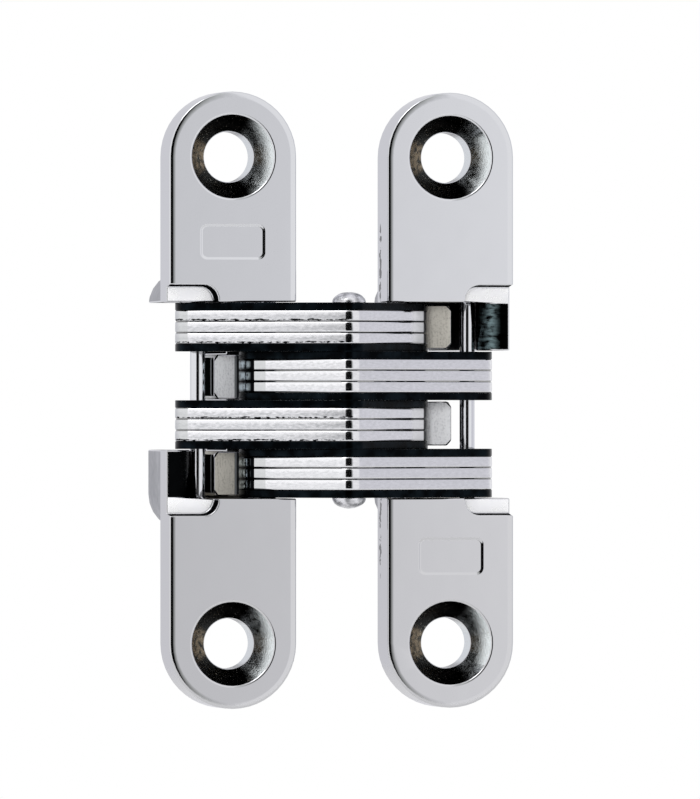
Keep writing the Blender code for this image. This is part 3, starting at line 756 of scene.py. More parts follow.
@dataclass(frozen=True)
class Studio:
    """Camera, lamps, world and floor.

    The hinge is mirror bright, so most of its look is what it reflects: a white room
    with a greyer right half and one dark oval near the camera, whose edge is a sudden
    one with a faint fringe on its right. Azimuths are degrees from straight ahead of the
    faces, to the right, and the room's tones run by azimuth.
    """

    camera_azimuth: float = -13.0
    camera_distance: float = 1200.0
    frame_height: float = 78.2
    sensor_height: float = 36.0
    clips: tuple[float, float] = (50.0, 20000.0)
    aim_right: float = 0.77
    aim_up: float = 0.07
    aim_depth: float = -6.1
    dark_azimuth: float = -15.3
    dark_half_width: float = 19.6
    dark_half_height: float = 36.0
    dark_edge: tuple[float, float] = (0.94, 1.0)
    dark_light: float = 0.004
    fringe_edge: tuple[float, float] = (1.0, 1.4)
    fringe_light: float = 0.3
    dull_light: float = 0.75
    floor_drop: float = 90.0
    floor_radius: float = 450.0
    floor_solid_share: float = 0.35
    floor_sides: int = 96
    floor_paint: str = "#F6F6F6"
    room_tones: tuple[tuple[float, str], ...] = (
        (-180.0, "#DADADF"),
        (-150.0, "#E4E4E8"),
        (-110.0, "#FFFFFF"),
        (-16.0, "#FFFFFF"),
        (2.0, "#D6D8D6"),
        (8.0, "#DADCDA"),
        (12.1, "#DEDEE0"),
        (13.9, "#FEFEFF"),
        (20.0, "#FFFFFF"),
        (50.0, "#FFFFFF"),
        (60.0, "#E0E0E5"),
        (95.0, "#E4E4E9"),
        (130.0, "#FFFFFF"),
        (150.0, "#E4E4E8"),
        (180.0, "#DADADF"),
    )
    lamps: tuple[Lamp, ...] = (
        Lamp("key_lamp", (-0.45, -0.35, 0.75), size=0.5, power=1.2),
        Lamp("fill_lamp", (-0.3, -0.95, 0.1), size=0.3, power=4.5, mirrored=False),
    )

    def build(self) -> None:
        """Make the camera, the world, the lamps and the floor."""
        self.make_camera()
        self.make_world()
        for lamp in self.lamps:
            lamp.hang()
        self.make_floor()
        bpy.context.scene.view_settings.view_transform = "Standard"

    def make_camera(self) -> None:
        """Place the camera so that the frame's height covers a known height at the hinge."""
        data = bpy.data.cameras.new("camera")
        data.sensor_fit = "VERTICAL"
        data.sensor_height = self.sensor_height
        data.lens = data.sensor_height * self.camera_distance / self.frame_height
        data.clip_start, data.clip_end = (clip * MM for clip in self.clips)
        camera = bpy.data.objects.new("camera", data)
        angle = math.radians(self.camera_azimuth)
        back = Vector((math.sin(angle), -math.cos(angle), 0.0))
        right = Vector((-back.y, back.x, 0.0))
        aim = Vector((0.0, self.aim_depth, 0.0)) + right * self.aim_right + Vector((0, 0, self.aim_up))
        camera.location = (aim + back * self.camera_distance) * MM
        camera.rotation_mode = "QUATERNION"
        camera.rotation_quaternion = (-back).to_track_quat("-Z", "Y")
        bpy.context.scene.collection.objects.link(camera)
        bpy.context.scene.camera = camera

    def make_world(self) -> None:
        """Make the room that the metal reflects, with plain white behind the hinge."""
        world = bpy.data.worlds.new("studio")
        bpy.context.scene.world = world
        world.use_nodes = True
        tree = world.node_tree
        tree.nodes.clear()
        add = partial(add_node, tree)
        direction = add("SeparateXYZ", add("TexCoord", output="Generated")).node.outputs
        ahead = add("Math:MULTIPLY", direction["Y"], -1.0)
        azimuth = add("Math:DEGREES", add("Math:ARCTAN2", direction["X"], ahead))
        elevation = add("Math:DEGREES", add("Math:ARCSINE", direction["Z"]))
        room = add("Background", self.room_tone(tree, azimuth), self.room_light(tree, azimuth, elevation))
        plain = add("Background", WHITE, self.dull_light)
        white = add("Background", WHITE, 1.0)
        lit = add("MixShader", add("LightPath", output="Is Glossy Ray"), plain, room)
        seen = add("MixShader", add("LightPath", output="Is Camera Ray"), lit, white)
        add("OutputWorld", seen)

    def room_tone(self, tree: bpy.types.NodeTree, azimuth: bpy.types.NodeSocket) -> bpy.types.NodeSocket:
        """Return the room's colour, which runs between its tones by azimuth.

        Args:
            tree: The tree that gets the nodes.
            azimuth: The direction's azimuth in degrees.

        Returns:
            The colour's socket.
        """
        start, end = self.room_tones[0][0], self.room_tones[-1][0]
        ramp = add_node(tree, "ValToRGB", add_node(tree, "MapRange", azimuth, start, end))
        elements = ramp.node.color_ramp.elements
        while len(elements) < len(self.room_tones):
            elements.new(0.5)
        for element, (degrees, colour) in zip(elements, self.room_tones):
            element.position = (degrees - start) / (end - start)
            element.color = linear(colour)
        return ramp

    def room_light(
        self, tree: bpy.types.NodeTree, azimuth: bpy.types.NodeSocket, elevation: bpy.types.NodeSocket
    ) -> bpy.types.NodeSocket:
        """Return the room's strength: 1, but for the dark oval and its fringe.

        Args:
            tree: The tree that gets the nodes.
            azimuth: The direction's azimuth in degrees.
            elevation: Its elevation in degrees.

        Returns:
            The strength's socket.
        """
        add = partial(add_node, tree)
        aside = add("Math:SUBTRACT", azimuth, self.dark_azimuth)
        aside = add("Math:DIVIDE", aside, self.dark_half_width)
        above = add("Math:DIVIDE", elevation, self.dark_half_height)
        squares = [add("Math:MULTIPLY", value, value) for value in (aside, above)]
        reach = add("Math:SQRT", add("Math:ADD", *squares))
        dark = add("MapRange", reach, *self.dark_edge, self.dark_light, 1.0)
        fringe = add("MapRange", reach, *self.fringe_edge, self.fringe_light, 1.0)
        on_left = add("Math:LESS_THAN", azimuth, self.dark_azimuth)
        return add("Math:MULTIPLY", dark, add("Math:MAXIMUM", fringe, on_left))

    def make_floor(self) -> None:
        """Lay a round pale floor below the view, fading into the white room at its rim."""
        radius = self.floor_radius * MM
        turns = np.linspace(0.0, FULL_TURN, self.floor_sides, endpoint=False)
        rim = np.stack([np.cos(turns), np.sin(turns), np.zeros_like(turns)], axis=1) * radius
        mesh = bpy.data.meshes.new("studio_floor")
        mesh.from_pydata(rim.tolist(), [], [list(range(len(rim)))])
        floor = bpy.data.objects.new("studio_floor", mesh)
        floor.location = (0.0, 0.0, -self.floor_drop * MM)
        bpy.context.scene.collection.objects.link(floor)
        mesh.materials.append(self.floor_material(radius))

    def floor_material(self, radius: float) -> bpy.types.Material:
        """Return the floor's material: white paint, clear at the rim and from below.

        Args:
            radius: The floor's radius in metres.

        Returns:
            The material.
        """
        material = bpy.data.materials.new("white_floor_paint")
        material.use_nodes = True
        tree = material.node_tree
        tree.nodes.clear()
        add = partial(add_node, tree)
        distance = add("VectorMath:LENGTH", add("TexCoord", output="Object"))
        fade = add("MapRange:SMOOTHSTEP", distance, radius * self.floor_solid_share, radius)
        clear_share = add("Math:MAXIMUM", fade, add("NewGeometry", output="Backfacing"))
        paint = add("BsdfDiffuse", linear(self.floor_paint))
        add("OutputMaterial", add("MixShader", clear_share, paint, add("BsdfTransparent")))
        return material


@contextmanager
def reshaping(mesh: bpy.types.Mesh) -> Iterator[bmesh.types.BMesh]:
    """Open a mesh as a cage of linked points, and write the cage back afterwards."""
    cage = bmesh.new()
    cage.from_mesh(mesh)
    yield cage
    cage.to_mesh(mesh)
    cage.free()


def read_points(mesh: bpy.types.Mesh) -> np.ndarray:
    """Return a mesh's points in millimetres, one row each."""
    flat = np.empty(len(mesh.vertices) * 3)
    mesh.vertices.foreach_get("co", flat)
    return flat.reshape(-1, 3) / MM


def write_points(mesh: bpy.types.Mesh, points: np.ndarray) -> None:
    """Move a mesh's points to places in millimetres."""
    mesh.vertices.foreach_set("co", (points * MM).ravel())


def ring(sides: int) -> np.ndarray:
    """Return the unit circle's points (cos t, sin t), one row each."""
    turns = np.linspace(0.0, FULL_TURN, sides, endpoint=False)
    return np.stack([np.cos(turns), np.sin(turns)], axis=1)


@dataclass
class Surface:
    """Points and faces of one piece, in millimetres, with values kept on its points."""

    points: list[np.ndarray] = field(default_factory=list)
    faces: list[list[int]] = field(default_factory=list)
    values: dict[str, list[np.ndarray]] = field(default_factory=dict)
    count: int = 0

    def add_points(self, points: np.ndarray, **values: np.ndarray | float) -> int:
        """Add points with their values.

        Args:
            points: Three numbers a row.
            values: Point values, one for all or one a row.

        Returns:
            The first point's number.
        """
        first = self.count
        self.points.append(points)
        self.count += len(points)
        for name, value in values.items():
            self.values.setdefault(name, []).append(np.broadcast_to(value, len(points)))
        return first

    def add_grid(self, grid: np.ndarray, closed: bool, **values: np.ndarray | float) -> np.ndarray:
        """Add a grid of points whose second direction may close on itself.

        Args:
            grid: Rows by columns by three numbers.
            closed: Whether the last column joins the first.
            values: Point values, rows by columns each.

        Returns:
            The points' numbers, rows by columns.
        """
        rows, columns = grid.shape[:2]
        size = (rows, columns)
        flat = {name: np.broadcast_to(value, size).ravel() for name, value in values.items()}
        first = self.add_points(grid.reshape(-1, 3), **flat)
        numbers = first + np.arange(rows * columns).reshape(rows, columns)
        ahead = np.roll(numbers, -1, axis=1)
        last = columns if closed else columns - 1
        quads = np.stack([numbers[:-1], ahead[:-1], ahead[1:], numbers[1:]], axis=-1)[:, :last]
        self.faces += quads.reshape(-1, 4).tolist()
        return numbers

    def to_mesh(self, name: str) -> bpy.types.Mesh:
        """Return the surface as a mesh in metres with its values as point attributes."""
        mesh = bpy.data.meshes.new(name)
        points = np.concatenate(self.points) * MM
        mesh.from_pydata(points.tolist(), [], self.faces)
        for key, blocks in self.values.items():
            attribute = mesh.attributes.new(key, "FLOAT", "POINT")
            attribute.data.foreach_set("value", np.concatenate(blocks).astype(np.float32))
        return mesh


class Workshop:
    """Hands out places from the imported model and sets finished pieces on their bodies."""

    def __init__(self, frame: dict, finishes: Finishes) -> None:
        """Read the pins' places.

        Args:
            finishes: The finishes that pieces take.
        """
        self.frame = frame
        self.finishes = finishes
        self.centre = self.axis("centre_pin")
        self.fixed = self.axis("right_fixed_pin")
        self.slide = self.axis("left_slide_pin")

    @staticmethod
    def box(node: str) -> tuple[np.ndarray, np.ndarray]:
        """Return a node's lowest and highest corners in millimetres."""
        low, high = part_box(node)
        return np.array(low) / MM, np.array(high) / MM

    def axis(self, node: str) -> np.ndarray:
        """Return where a pin's axis crosses the XY plane, in millimetres."""
        low, high = self.box(node)
        return (low + high)[:2] / 2

    def place(
        self,
        mesh: bpy.types.Mesh,
        body: str,
        nodes: list[str],
        slot: str,
        finishes: Sequence[Finish],
    ) -> bpy.types.Object:
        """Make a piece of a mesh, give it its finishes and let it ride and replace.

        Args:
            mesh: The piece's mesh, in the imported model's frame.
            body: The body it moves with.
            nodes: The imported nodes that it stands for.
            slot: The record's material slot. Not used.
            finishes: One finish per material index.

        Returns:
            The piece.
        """
        piece = bpy.data.objects.new(mesh.name, mesh)
        bpy.context.scene.collection.objects.link(piece)
        for finish in finishes:
            mesh.materials.append(self.finishes.get(finish))
        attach(piece, body)
        if nodes:
            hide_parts(*nodes)
        LOG.info("%s: %d faces on %s", mesh.name, len(mesh.polygons), body)
        return piece


@dataclass(frozen=True)
class LinkShape:
    """A link's outline and edges, in millimetres.

    On_eye lists the outline's circles that are on the fixed eye. Of each stack's bright
    plates, counted from 1, one isn't torn.
    """

    apex_radius: float = 1.8
    heel_radius: float = 2.88
    heel_corner_radius: float = 0.35
    heel_end: float = math.radians(15)
    eye_radius: float = 1.45
    slide_radius: float = 2.05
    slide_set_out: float = 0.28
    slide_set_forward: float = 0.5
    crotch_radius: float = 1.5
    crotch_wall: float = 1.7
    on_eye: tuple[int, ...] = (1, 2, 3)
    arc_step: float = math.radians(3)
    edge_steps: int = 6
    bright_edge: tuple[float, float] = (0.26, 0.11)
    dark_edge: tuple[float, float] = (0.08, 0.06)
    dark_swell: float = 0.0245
    bore_sides: int = 40
    centre_bore: float = 0.86
    pin_bore: float = 0.81
    bore_across: float = 2.0
    sharp: float = math.radians(50)
    merge: float = 0.0001
    stack_plates: int = 3
    untorn_plate: int = 2

    def circles(self, fixed: np.ndarray, slide: np.ndarray) -> list[tuple[np.ndarray, float]]:
        """Return the circles that the outline runs round, from the centre pin's own circle.

        Args:
            fixed: The fixed pin's place from the centre pin.
            slide: The sliding pin's place from the centre pin.

        Returns:
            Centres and radii, negative where the outline is hollow.
        """
        toward_heel = np.array([math.cos(self.heel_end), math.sin(self.heel_end)])
        heel_corner = fixed + (self.heel_radius - self.heel_corner_radius) * toward_heel
        slide_end = slide - np.array([self.slide_set_out, self.slide_set_forward])
        between = slide / np.hypot(*slide) + fixed / np.hypot(*fixed)
        crotch = between / np.hypot(*between) * (self.crotch_wall + self.crotch_radius)
        return [
            (np.zeros(2), self.apex_radius),
            (fixed, self.heel_radius),
            (heel_corner, self.heel_corner_radius),
            (fixed, self.eye_radius),
            (crotch, -self.crotch_radius),
            (slide_end, self.slide_radius),
        ]

    def outline(
        self, fixed: np.ndarray, slide: np.ndarray
    ) -> tuple[np.ndarray, np.ndarray, np.ndarray]:
        """Return the outline's points, outward normals and eye shares, anticlockwise.

        A straight run leaves circle i along its outward normal n, for which
        n . (c2 - c1) = r1 - r2. Between two runs the outline is the arc c + r n.

        Args:
            fixed: The fixed pin's place from the centre pin.
            slide: The sliding pin's place from the centre pin.

        Returns:
            Points and normals, one row each, and 1 for each point on the fixed eye, else 0.
        """
        circles = self.circles(fixed, slide)
        angles = []
        for (centre, radius), (next_centre, next_radius) in zip(circles, circles[1:] + circles[:1]):
            run = next_centre - centre
            length = np.hypot(*run)
            lean = (radius - next_radius) / length
            along = run / length
            outward = np.array([along[1], -along[0]])
            normal = outward * math.sqrt(max(0.0, 1.0 - lean**2)) + along * lean
            angles.append(math.atan2(normal[1], normal[0]))
        points = []
        normals = []
        eyes = []
        for index, (centre, radius) in enumerate(circles):
            first = angles[index - 1]
            sweep = (angles[index] - first) % FULL_TURN
            if radius < 0:
                sweep -= FULL_TURN
            steps = max(1, math.ceil(abs(sweep) / self.arc_step))
            turns = first + sweep * np.arange(steps + 1) / steps
            around = np.stack([np.cos(turns), np.sin(turns)], axis=1)
            points.append(centre + radius * around)
            normals.append(around)
            on_eye = np.full(len(turns), float(index in self.on_eye))
            if index == self.on_eye[0]:
                on_eye[0] = 0.0
            eyes.append(on_eye)
        return np.concatenate(points), np.concatenate(normals), np.concatenate(eyes)


class LinkPlates:
    """The plates of both link sets, each with rounded, sheared edges."""

    def __init__(self, workshop: Workshop, shape: LinkShape) -> None:
        """Keep the workshop and the plates' shape."""
        self.workshop = workshop
        self.shape = shape

    def build(self) -> None:
        """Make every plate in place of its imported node, each stack's middle one untorn."""
        for name in self.workshop.frame["nodes"]:
            if "plate" not in name:
                continue
            body = name[: len("link_a")]
            dark = "side" in name
            number = int(name.rsplit("_", 1)[1])
            low, high = self.workshop.box(name)
            burr = float(number % self.shape.stack_plates != self.shape.untorn_plate)
            mesh = self.plate_mesh(f"{name}_sheared", body == "link_b", low[2], high[2], dark, burr)
            finish = Finish.BLACK if dark else Finish.BRIGHT
            slot = "side_plate" if dark else "link_plate"
            self.workshop.place(mesh, body, [name], slot, [finish])

    def plate_mesh(
        self, name: str, mirrored: bool, low: float, high: float, dark: bool, burr: float
    ) -> bpy.types.Mesh:
        """Return one plate.

        The rim is the surface (p - n d (1 - cos a), z0 + (h - e) s + e sin a), where p and n
        are the outline's point and normal, d and e the depth and height of the edge's
        quarter ellipse, h half the thickness, and a runs from -90 to 90 degrees with s its
        sign.

        Args:
            name: The mesh's name.
            mirrored: Whether the sliding end is on the right.
            low: The plate's lowest height.
            high: Its highest.
            dark: Whether it is a side plate.
            burr: How ragged its lower edge is.

        Returns:
            The mesh.
        """
        shape = self.shape
        shop = self.workshop
        edge = shape.dark_edge if dark else shape.bright_edge
        half = (high - low) / 2 + (shape.dark_swell if dark else 0.0)
        middle = (high + low) / 2
        points, normals, eyes = shape.outline(shop.fixed - shop.centre, shop.slide - shop.centre)
        eyes = (1.0 + eyes) / 2 * mirrored
        rise = np.linspace(0.0, QUARTER_TURN, shape.edge_steps + 1)
        tilt = np.concatenate([-rise[::-1], rise])
        side = np.concatenate([-np.ones_like(rise), np.ones_like(rise)])
        heights = (half - edge[0]) * side + edge[0] * np.sin(tilt)
        insets = edge[1] * (1.0 - np.cos(tilt))
        across = heights / half
        surface = Surface()
        grid = np.empty((len(tilt), len(points), 3))
        grid[..., :2] = points[None] - normals[None] * insets[:, None, None]
        grid[..., 2] = middle + heights[:, None]
        rim = surface.add_grid(grid, True, across=across[:, None], burr=burr, eye=eyes[None])
        loops_low, loops_high = [rim[0]], [rim[-1]]
        bores = [
            (np.zeros(2), shape.centre_bore),
            (shop.fixed - shop.centre, shape.pin_bore),
            (shop.slide - shop.centre, shape.pin_bore),
        ]
        for centre, radius in bores:
            wall = np.empty((2, shape.bore_sides, 3))
            wall[..., :2] = centre + radius * ring(shape.bore_sides)
            wall[..., 2] = middle + np.array([[half], [-half]])
            bore = surface.add_grid(wall, True, across=shape.bore_across, burr=burr, eye=0.0)
            loops_high.append(bore[0])
            loops_low.append(bore[1])
        mesh = surface.to_mesh(name)
        self.fill_caps(mesh, [loops_low, loops_high])
        centre = Vector((shop.centre[0], shop.centre[1], 0.0)) * MM
        turn = -1.0 if mirrored else 1.0
        mesh.transform(Matrix.Translation(centre) @ Matrix.Diagonal((turn, 1.0, 1.0, 1.0)))
        if mirrored:
            mesh.flip_normals()
        mesh.shade_smooth()
        mesh.set_sharp_from_angle(angle=shape.sharp)
        return mesh

    def fill_caps(self, mesh: bpy.types.Mesh, caps: list[list[np.ndarray]]) -> None:
        """Close each flat side between its outer loop and its bores' loops.

        Args:
            mesh: The plate's mesh.
            caps: For each side, the loops' point numbers, the outer one first.
        """
        with reshaping(mesh) as cage:
            cage.verts.ensure_lookup_table()
            for loops in caps:
                edges = []
                for loop in loops:
                    for start, end in zip(loop.tolist(), np.roll(loop, -1).tolist()):
                        edges.append(cage.edges.get((cage.verts[start], cage.verts[end])))
                bmesh.ops.triangle_fill(cage, use_beauty=True, edges=[edge for edge in edges if edge])
            bmesh.ops.remove_doubles(cage, verts=cage.verts, dist=self.shape.merge * MM)
            bmesh.ops.recalc_face_normals(cage, faces=cage.faces)


@dataclass(frozen=True)
class PinShape:
    """The pins' sizes in millimetres, how finely they are turned, and the heads' dents.

    A wave is a pair of numbers: radians to the millimetre, and its start in radians.
    """

    shank: float = 0.8
    head_height: float = 1.0
    chamfer: float = 0.15
    chamfer_steps: int = 4
    sides: int = 64
    dome_steps: int = 12
    dent_depth: float = 0.015
    dent_wave_x: tuple[float, float] = (4.1, 1.3)
    dent_wave_y: tuple[float, float] = (3.7, 0.4)
    slant_wave: tuple[float, float] = (-5.1, 7.3)
    slant_share: float = 0.6
    tip: float = 1e-4
    merge: float = 0.0005
    sharp: float = math.radians(40)


class Pins:
    """The centre pin with its riveted heads, the fixed pins and the sliding pins."""

    def __init__(self, workshop: Workshop, shape: PinShape) -> None:
        """Keep the workshop and the pins' shape."""
        self.workshop = workshop
        self.shape = shape

    def build(self) -> None:
        """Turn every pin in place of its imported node."""
        for name, node in self.workshop.frame["nodes"].items():
            if not name.endswith("_pin"):
                continue
            body = body_of(node)[0]
            if name == "centre_pin":
                self.centre_pin(name, body)
            else:
                self.plain_pin(name, body)

    def turned(
        self, surface: Surface, radii: np.ndarray, heights: np.ndarray, axis: np.ndarray, dents: float
    ) -> None:
        """Turn a profile round a pin's axis.

        Each point is (x + r cos t, y + r sin t, h - d w), where w is a wave along X times
        one along Y, plus a share of a slanting one, which gives a head its hammer dents.

        Args:
            surface: The surface that gets the grid.
            radii: The profile's radii, bottom to top.
            heights: Its heights.
            axis: The pin's place in X and Y.
            dents: How deep the dents are.
        """
        shape = self.shape
        x, y = (radii[:, None] * side for side in ring(shape.sides).T)
        (x_pace, x_start), (y_pace, y_start) = shape.dent_wave_x, shape.dent_wave_y
        slant = np.sin(shape.slant_wave[0] * x + shape.slant_wave[1] * y)
        waves = np.sin(x_pace * x + x_start) * np.cos(y_pace * y + y_start) + shape.slant_share * slant
        grid = np.stack([axis[0] + x, axis[1] + y, heights[:, None] - dents * waves], axis=-1)
        surface.add_grid(grid, True)

    def plain_pin(self, name: str, body: str) -> None:
        """Make a straight pin with rounded ends and closed flat tips.

        Args:
            name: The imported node.
            body: The body that it rides on.
        """
        low, high = self.workshop.box(name)
        radius = (high[0] - low[0]) / 2
        shape = self.shape
        rise = np.linspace(0.0, QUARTER_TURN, shape.chamfer_steps + 1)
        radii = radius - shape.chamfer * (1.0 - np.cos(rise))
        drop = shape.chamfer * (1.0 - np.sin(rise))
        radii = np.concatenate([[shape.tip], radii[::-1], radii, [shape.tip]])
        heights = np.concatenate([[low[2]], low[2] + drop[::-1], high[2] - drop, [high[2]]])
        surface = Surface()
        self.turned(surface, radii, heights, self.workshop.axis(name), 0.0)
        mesh = self.close(surface, f"{name}_drawn")
        self.workshop.place(mesh, body, [name], "pin", [Finish.PIN])

    def centre_pin(self, name: str, body: str) -> None:
        """Make the centre pin: a shank and two domed, hammered heads.

        Args:
            name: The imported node.
            body: The body that it rides on.
        """
        low, high = self.workshop.box(name)
        shape = self.shape
        rise = np.linspace(0.0, QUARTER_TURN, shape.dome_steps + 1)
        dome = (high[0] - low[0]) / 2 * np.cos(rise)
        dome[-1] = shape.tip
        radii = np.concatenate([[shape.shank], dome])
        lift = np.concatenate([[0.0], shape.head_height * np.sin(rise)])
        top = high[2] - shape.head_height
        bottom = low[2] + shape.head_height
        axis = self.workshop.axis(name)
        surface = Surface()
        self.turned(surface, radii, top + lift, axis, shape.dent_depth)
        self.turned(surface, radii[::-1], bottom - lift[::-1], axis, shape.dent_depth)
        self.turned(surface, np.full(2, shape.shank), np.array([bottom, top]), axis, 0.0)
        mesh = self.close(surface, f"{name}_riveted")
        self.workshop.place(mesh, body, [name], "pin", [Finish.HEAD])

    def close(self, surface: Surface, name: str) -> bpy.types.Mesh:
        """Join the points on the axis and between grids.

        Args:
            surface: The pin's grids.
            name: The mesh's name.

        Returns:
            The smooth mesh.
        """
        mesh = surface.to_mesh(name)
        with reshaping(mesh) as cage:
            bmesh.ops.remove_doubles(cage, verts=cage.verts, dist=self.shape.merge * MM)
            bmesh.ops.recalc_face_normals(cage, faces=cage.faces)
        mesh.shade_smooth()
        mesh.set_sharp_from_angle(angle=self.shape.sharp)
        return mesh


@dataclass(frozen=True)
class Panel:
    """A bare sunk panel on a leaf's face, in millimetres: a rounded rectangle with soft walls."""

    middle: tuple[float, float]
    size: tuple[float, float]
    corner: float = 0.75
    depth: float = 0.09
    wall: float = 0.32
    lead: float = 0.003
    overrun: float = 0.5
    corner_steps: int = 8
    wall_steps: int = 8

    def outline(self) -> tuple[np.ndarray, np.ndarray]:
        """Return the rectangle's points and outward normals, as four corner arcs."""
        half = np.array(self.size) / 2 - self.corner
        points = []
        normals = []
        for quarter, signs in enumerate(((1, 1), (-1, 1), (-1, -1), (1, -1))):
            turns = QUARTER_TURN * (quarter + np.arange(self.corner_steps + 1) / self.corner_steps)
            around = np.stack([np.cos(turns), np.sin(turns)], axis=1)
            points.append(half * np.array(signs) + self.corner * around)
            normals.append(around)
        return np.concatenate(points), np.concatenate(normals)

    def cutter(self, face_y: float) -> bpy.types.Mesh:
        """Return the panel's cutter, whose wall is an S curve.

        Its points are p - n w t in the face's plane, d / 2 (1 - cos pi t) deep, for t from
        0 to 1, where w is the wall's width and d the panel's depth.

        Args:
            face_y: The face's place in Y.

        Returns:
            The closed mesh, in metres.
        """
        points, normals = self.outline()
        share = np.linspace(0.0, 1.0, self.wall_steps + 1)
        inset = np.concatenate([[0.0], self.wall * share])
        sunk = self.depth / 2 * (1.0 - np.cos(math.pi * share)) - self.lead
        sunk = np.concatenate([[-self.overrun], sunk])
        grid = np.empty((len(inset), len(points), 3))
        flat = points[None] - normals[None] * inset[:, None, None]
        grid[..., 0] = self.middle[0] + flat[..., 0]
        grid[..., 1] = face_y + sunk[:, None]
        grid[..., 2] = self.middle[1] + flat[..., 1]
        surface = Surface()
        numbers = surface.add_grid(grid, True)
        surface.faces += [numbers[0].tolist(), numbers[-1].tolist()]
        mesh = surface.to_mesh("panel_cutter")
        with reshaping(mesh) as cage:
            bmesh.ops.recalc_face_normals(cage, faces=cage.faces)
        return mesh


def cut_away(mesh: bpy.types.Mesh, cutter: bpy.types.Mesh) -> bpy.types.Mesh:
    """Return a mesh with another's shape taken out of it.

    Args:
        mesh: The mesh to change.
        cutter: The closed mesh that is taken away. It is removed.

    Returns:
        A new mesh with the first one's name.
    """
    host = bpy.data.objects.new("host", mesh)
    tool = bpy.data.objects.new("tool", cutter)
    for item in (host, tool):
        bpy.context.scene.collection.objects.link(item)
    boolean = host.modifiers.new("cut", "BOOLEAN")
    boolean.operation = "DIFFERENCE"
    boolean.object = tool
    boolean.solver = "EXACT"
    bpy.context.view_layer.update()
    graph = bpy.context.evaluated_depsgraph_get()
    result = bpy.data.meshes.new_from_object(host.evaluated_get(graph))
    name = mesh.name
    for item in (host, tool):
        bpy.data.objects.remove(item, do_unlink=True)
    bpy.data.meshes.remove(cutter)
    mesh.name = f"{name}_before"
    result.name = name
    return result


@dataclass(frozen=True)
class LeafShape:
    """Places on a leaf, in millimetres: insets from its outer side, depths from its face.

    Heights are from the middle. A rounded edge is a row of insets and depths. Steep and
    shallow are shares of a face's normal along an axis.
    """

    flange: float = 4.7
    sink_radius: float = 4.175
    sink_facing: float = 0.95
    web_insets: tuple[float, float] = (5.1, 7.9)
    web_depth: float = 3.9
    pocket_half: float = 9.62
    pocket_end: float = 16.5
    pocket_insets: tuple[float, float] = (1.7, 11.4)
    housing_side: float = 10.6
    recess_depth: float = 1.6
    recess_width: float = 4.93
    recess_corner: tuple[float, float] = (3.4, 9.8)
    recess_round: float = 1.5
    recess_draft: float = 0.2
    recess_rise: float = 0.2
    packed_edge: tuple[tuple[float, float], ...] = ((0.0, 0.4), (0.054, 0.2), (0.2, 0.054), (0.4, 0.0))
    crown: tuple[tuple[float, float], ...] = ((0.0, 0.3), (0.0, 0.09), (0.22, 0.03), (0.62, 0.0))
    mouth_insets: tuple[float, float] = (2.87, 4.53)
    mouth_depth: float = 2.3
    groove_depth: float = 0.9
    groove_inset: float = 4.6
    groove_bright_depth: float = 4.0
    kept_foot: float = 4.7
    scoop_end: float = 3.9
    scoop_width: float = 3.0
    steep: float = 0.8
    shallow: float = 0.5
    slack: float = 0.03
    round_width: float = 0.13
    round_steps: int = 3
    merge: float = 0.0002
    flat_limit: float = math.radians(0.6)
    round_limit: float = math.radians(32)
    smooth_limit: float = math.radians(50)
    flat_share: float = 4.0


class Leaf:
    """Where one leaf stands, in millimetres: its outer side, middle line, ends and face."""

    def __init__(self, side: float, low: np.ndarray, high: np.ndarray) -> None:
        """Work out the leaf's lines from its box.

        Args:
            side: -1 for the left leaf, 1 for the right one.
            low: The box's lowest corner.
            high: Its highest corner.
        """
        self.side = side
        self.outer = low[0] if side < 0 else high[0]
        self.middle = (low[0] + high[0]) / 2
        self.half_width = (high[0] - low[0]) / 2
        self.end_z = high[2] - self.half_width
        self.face_y = low[1]


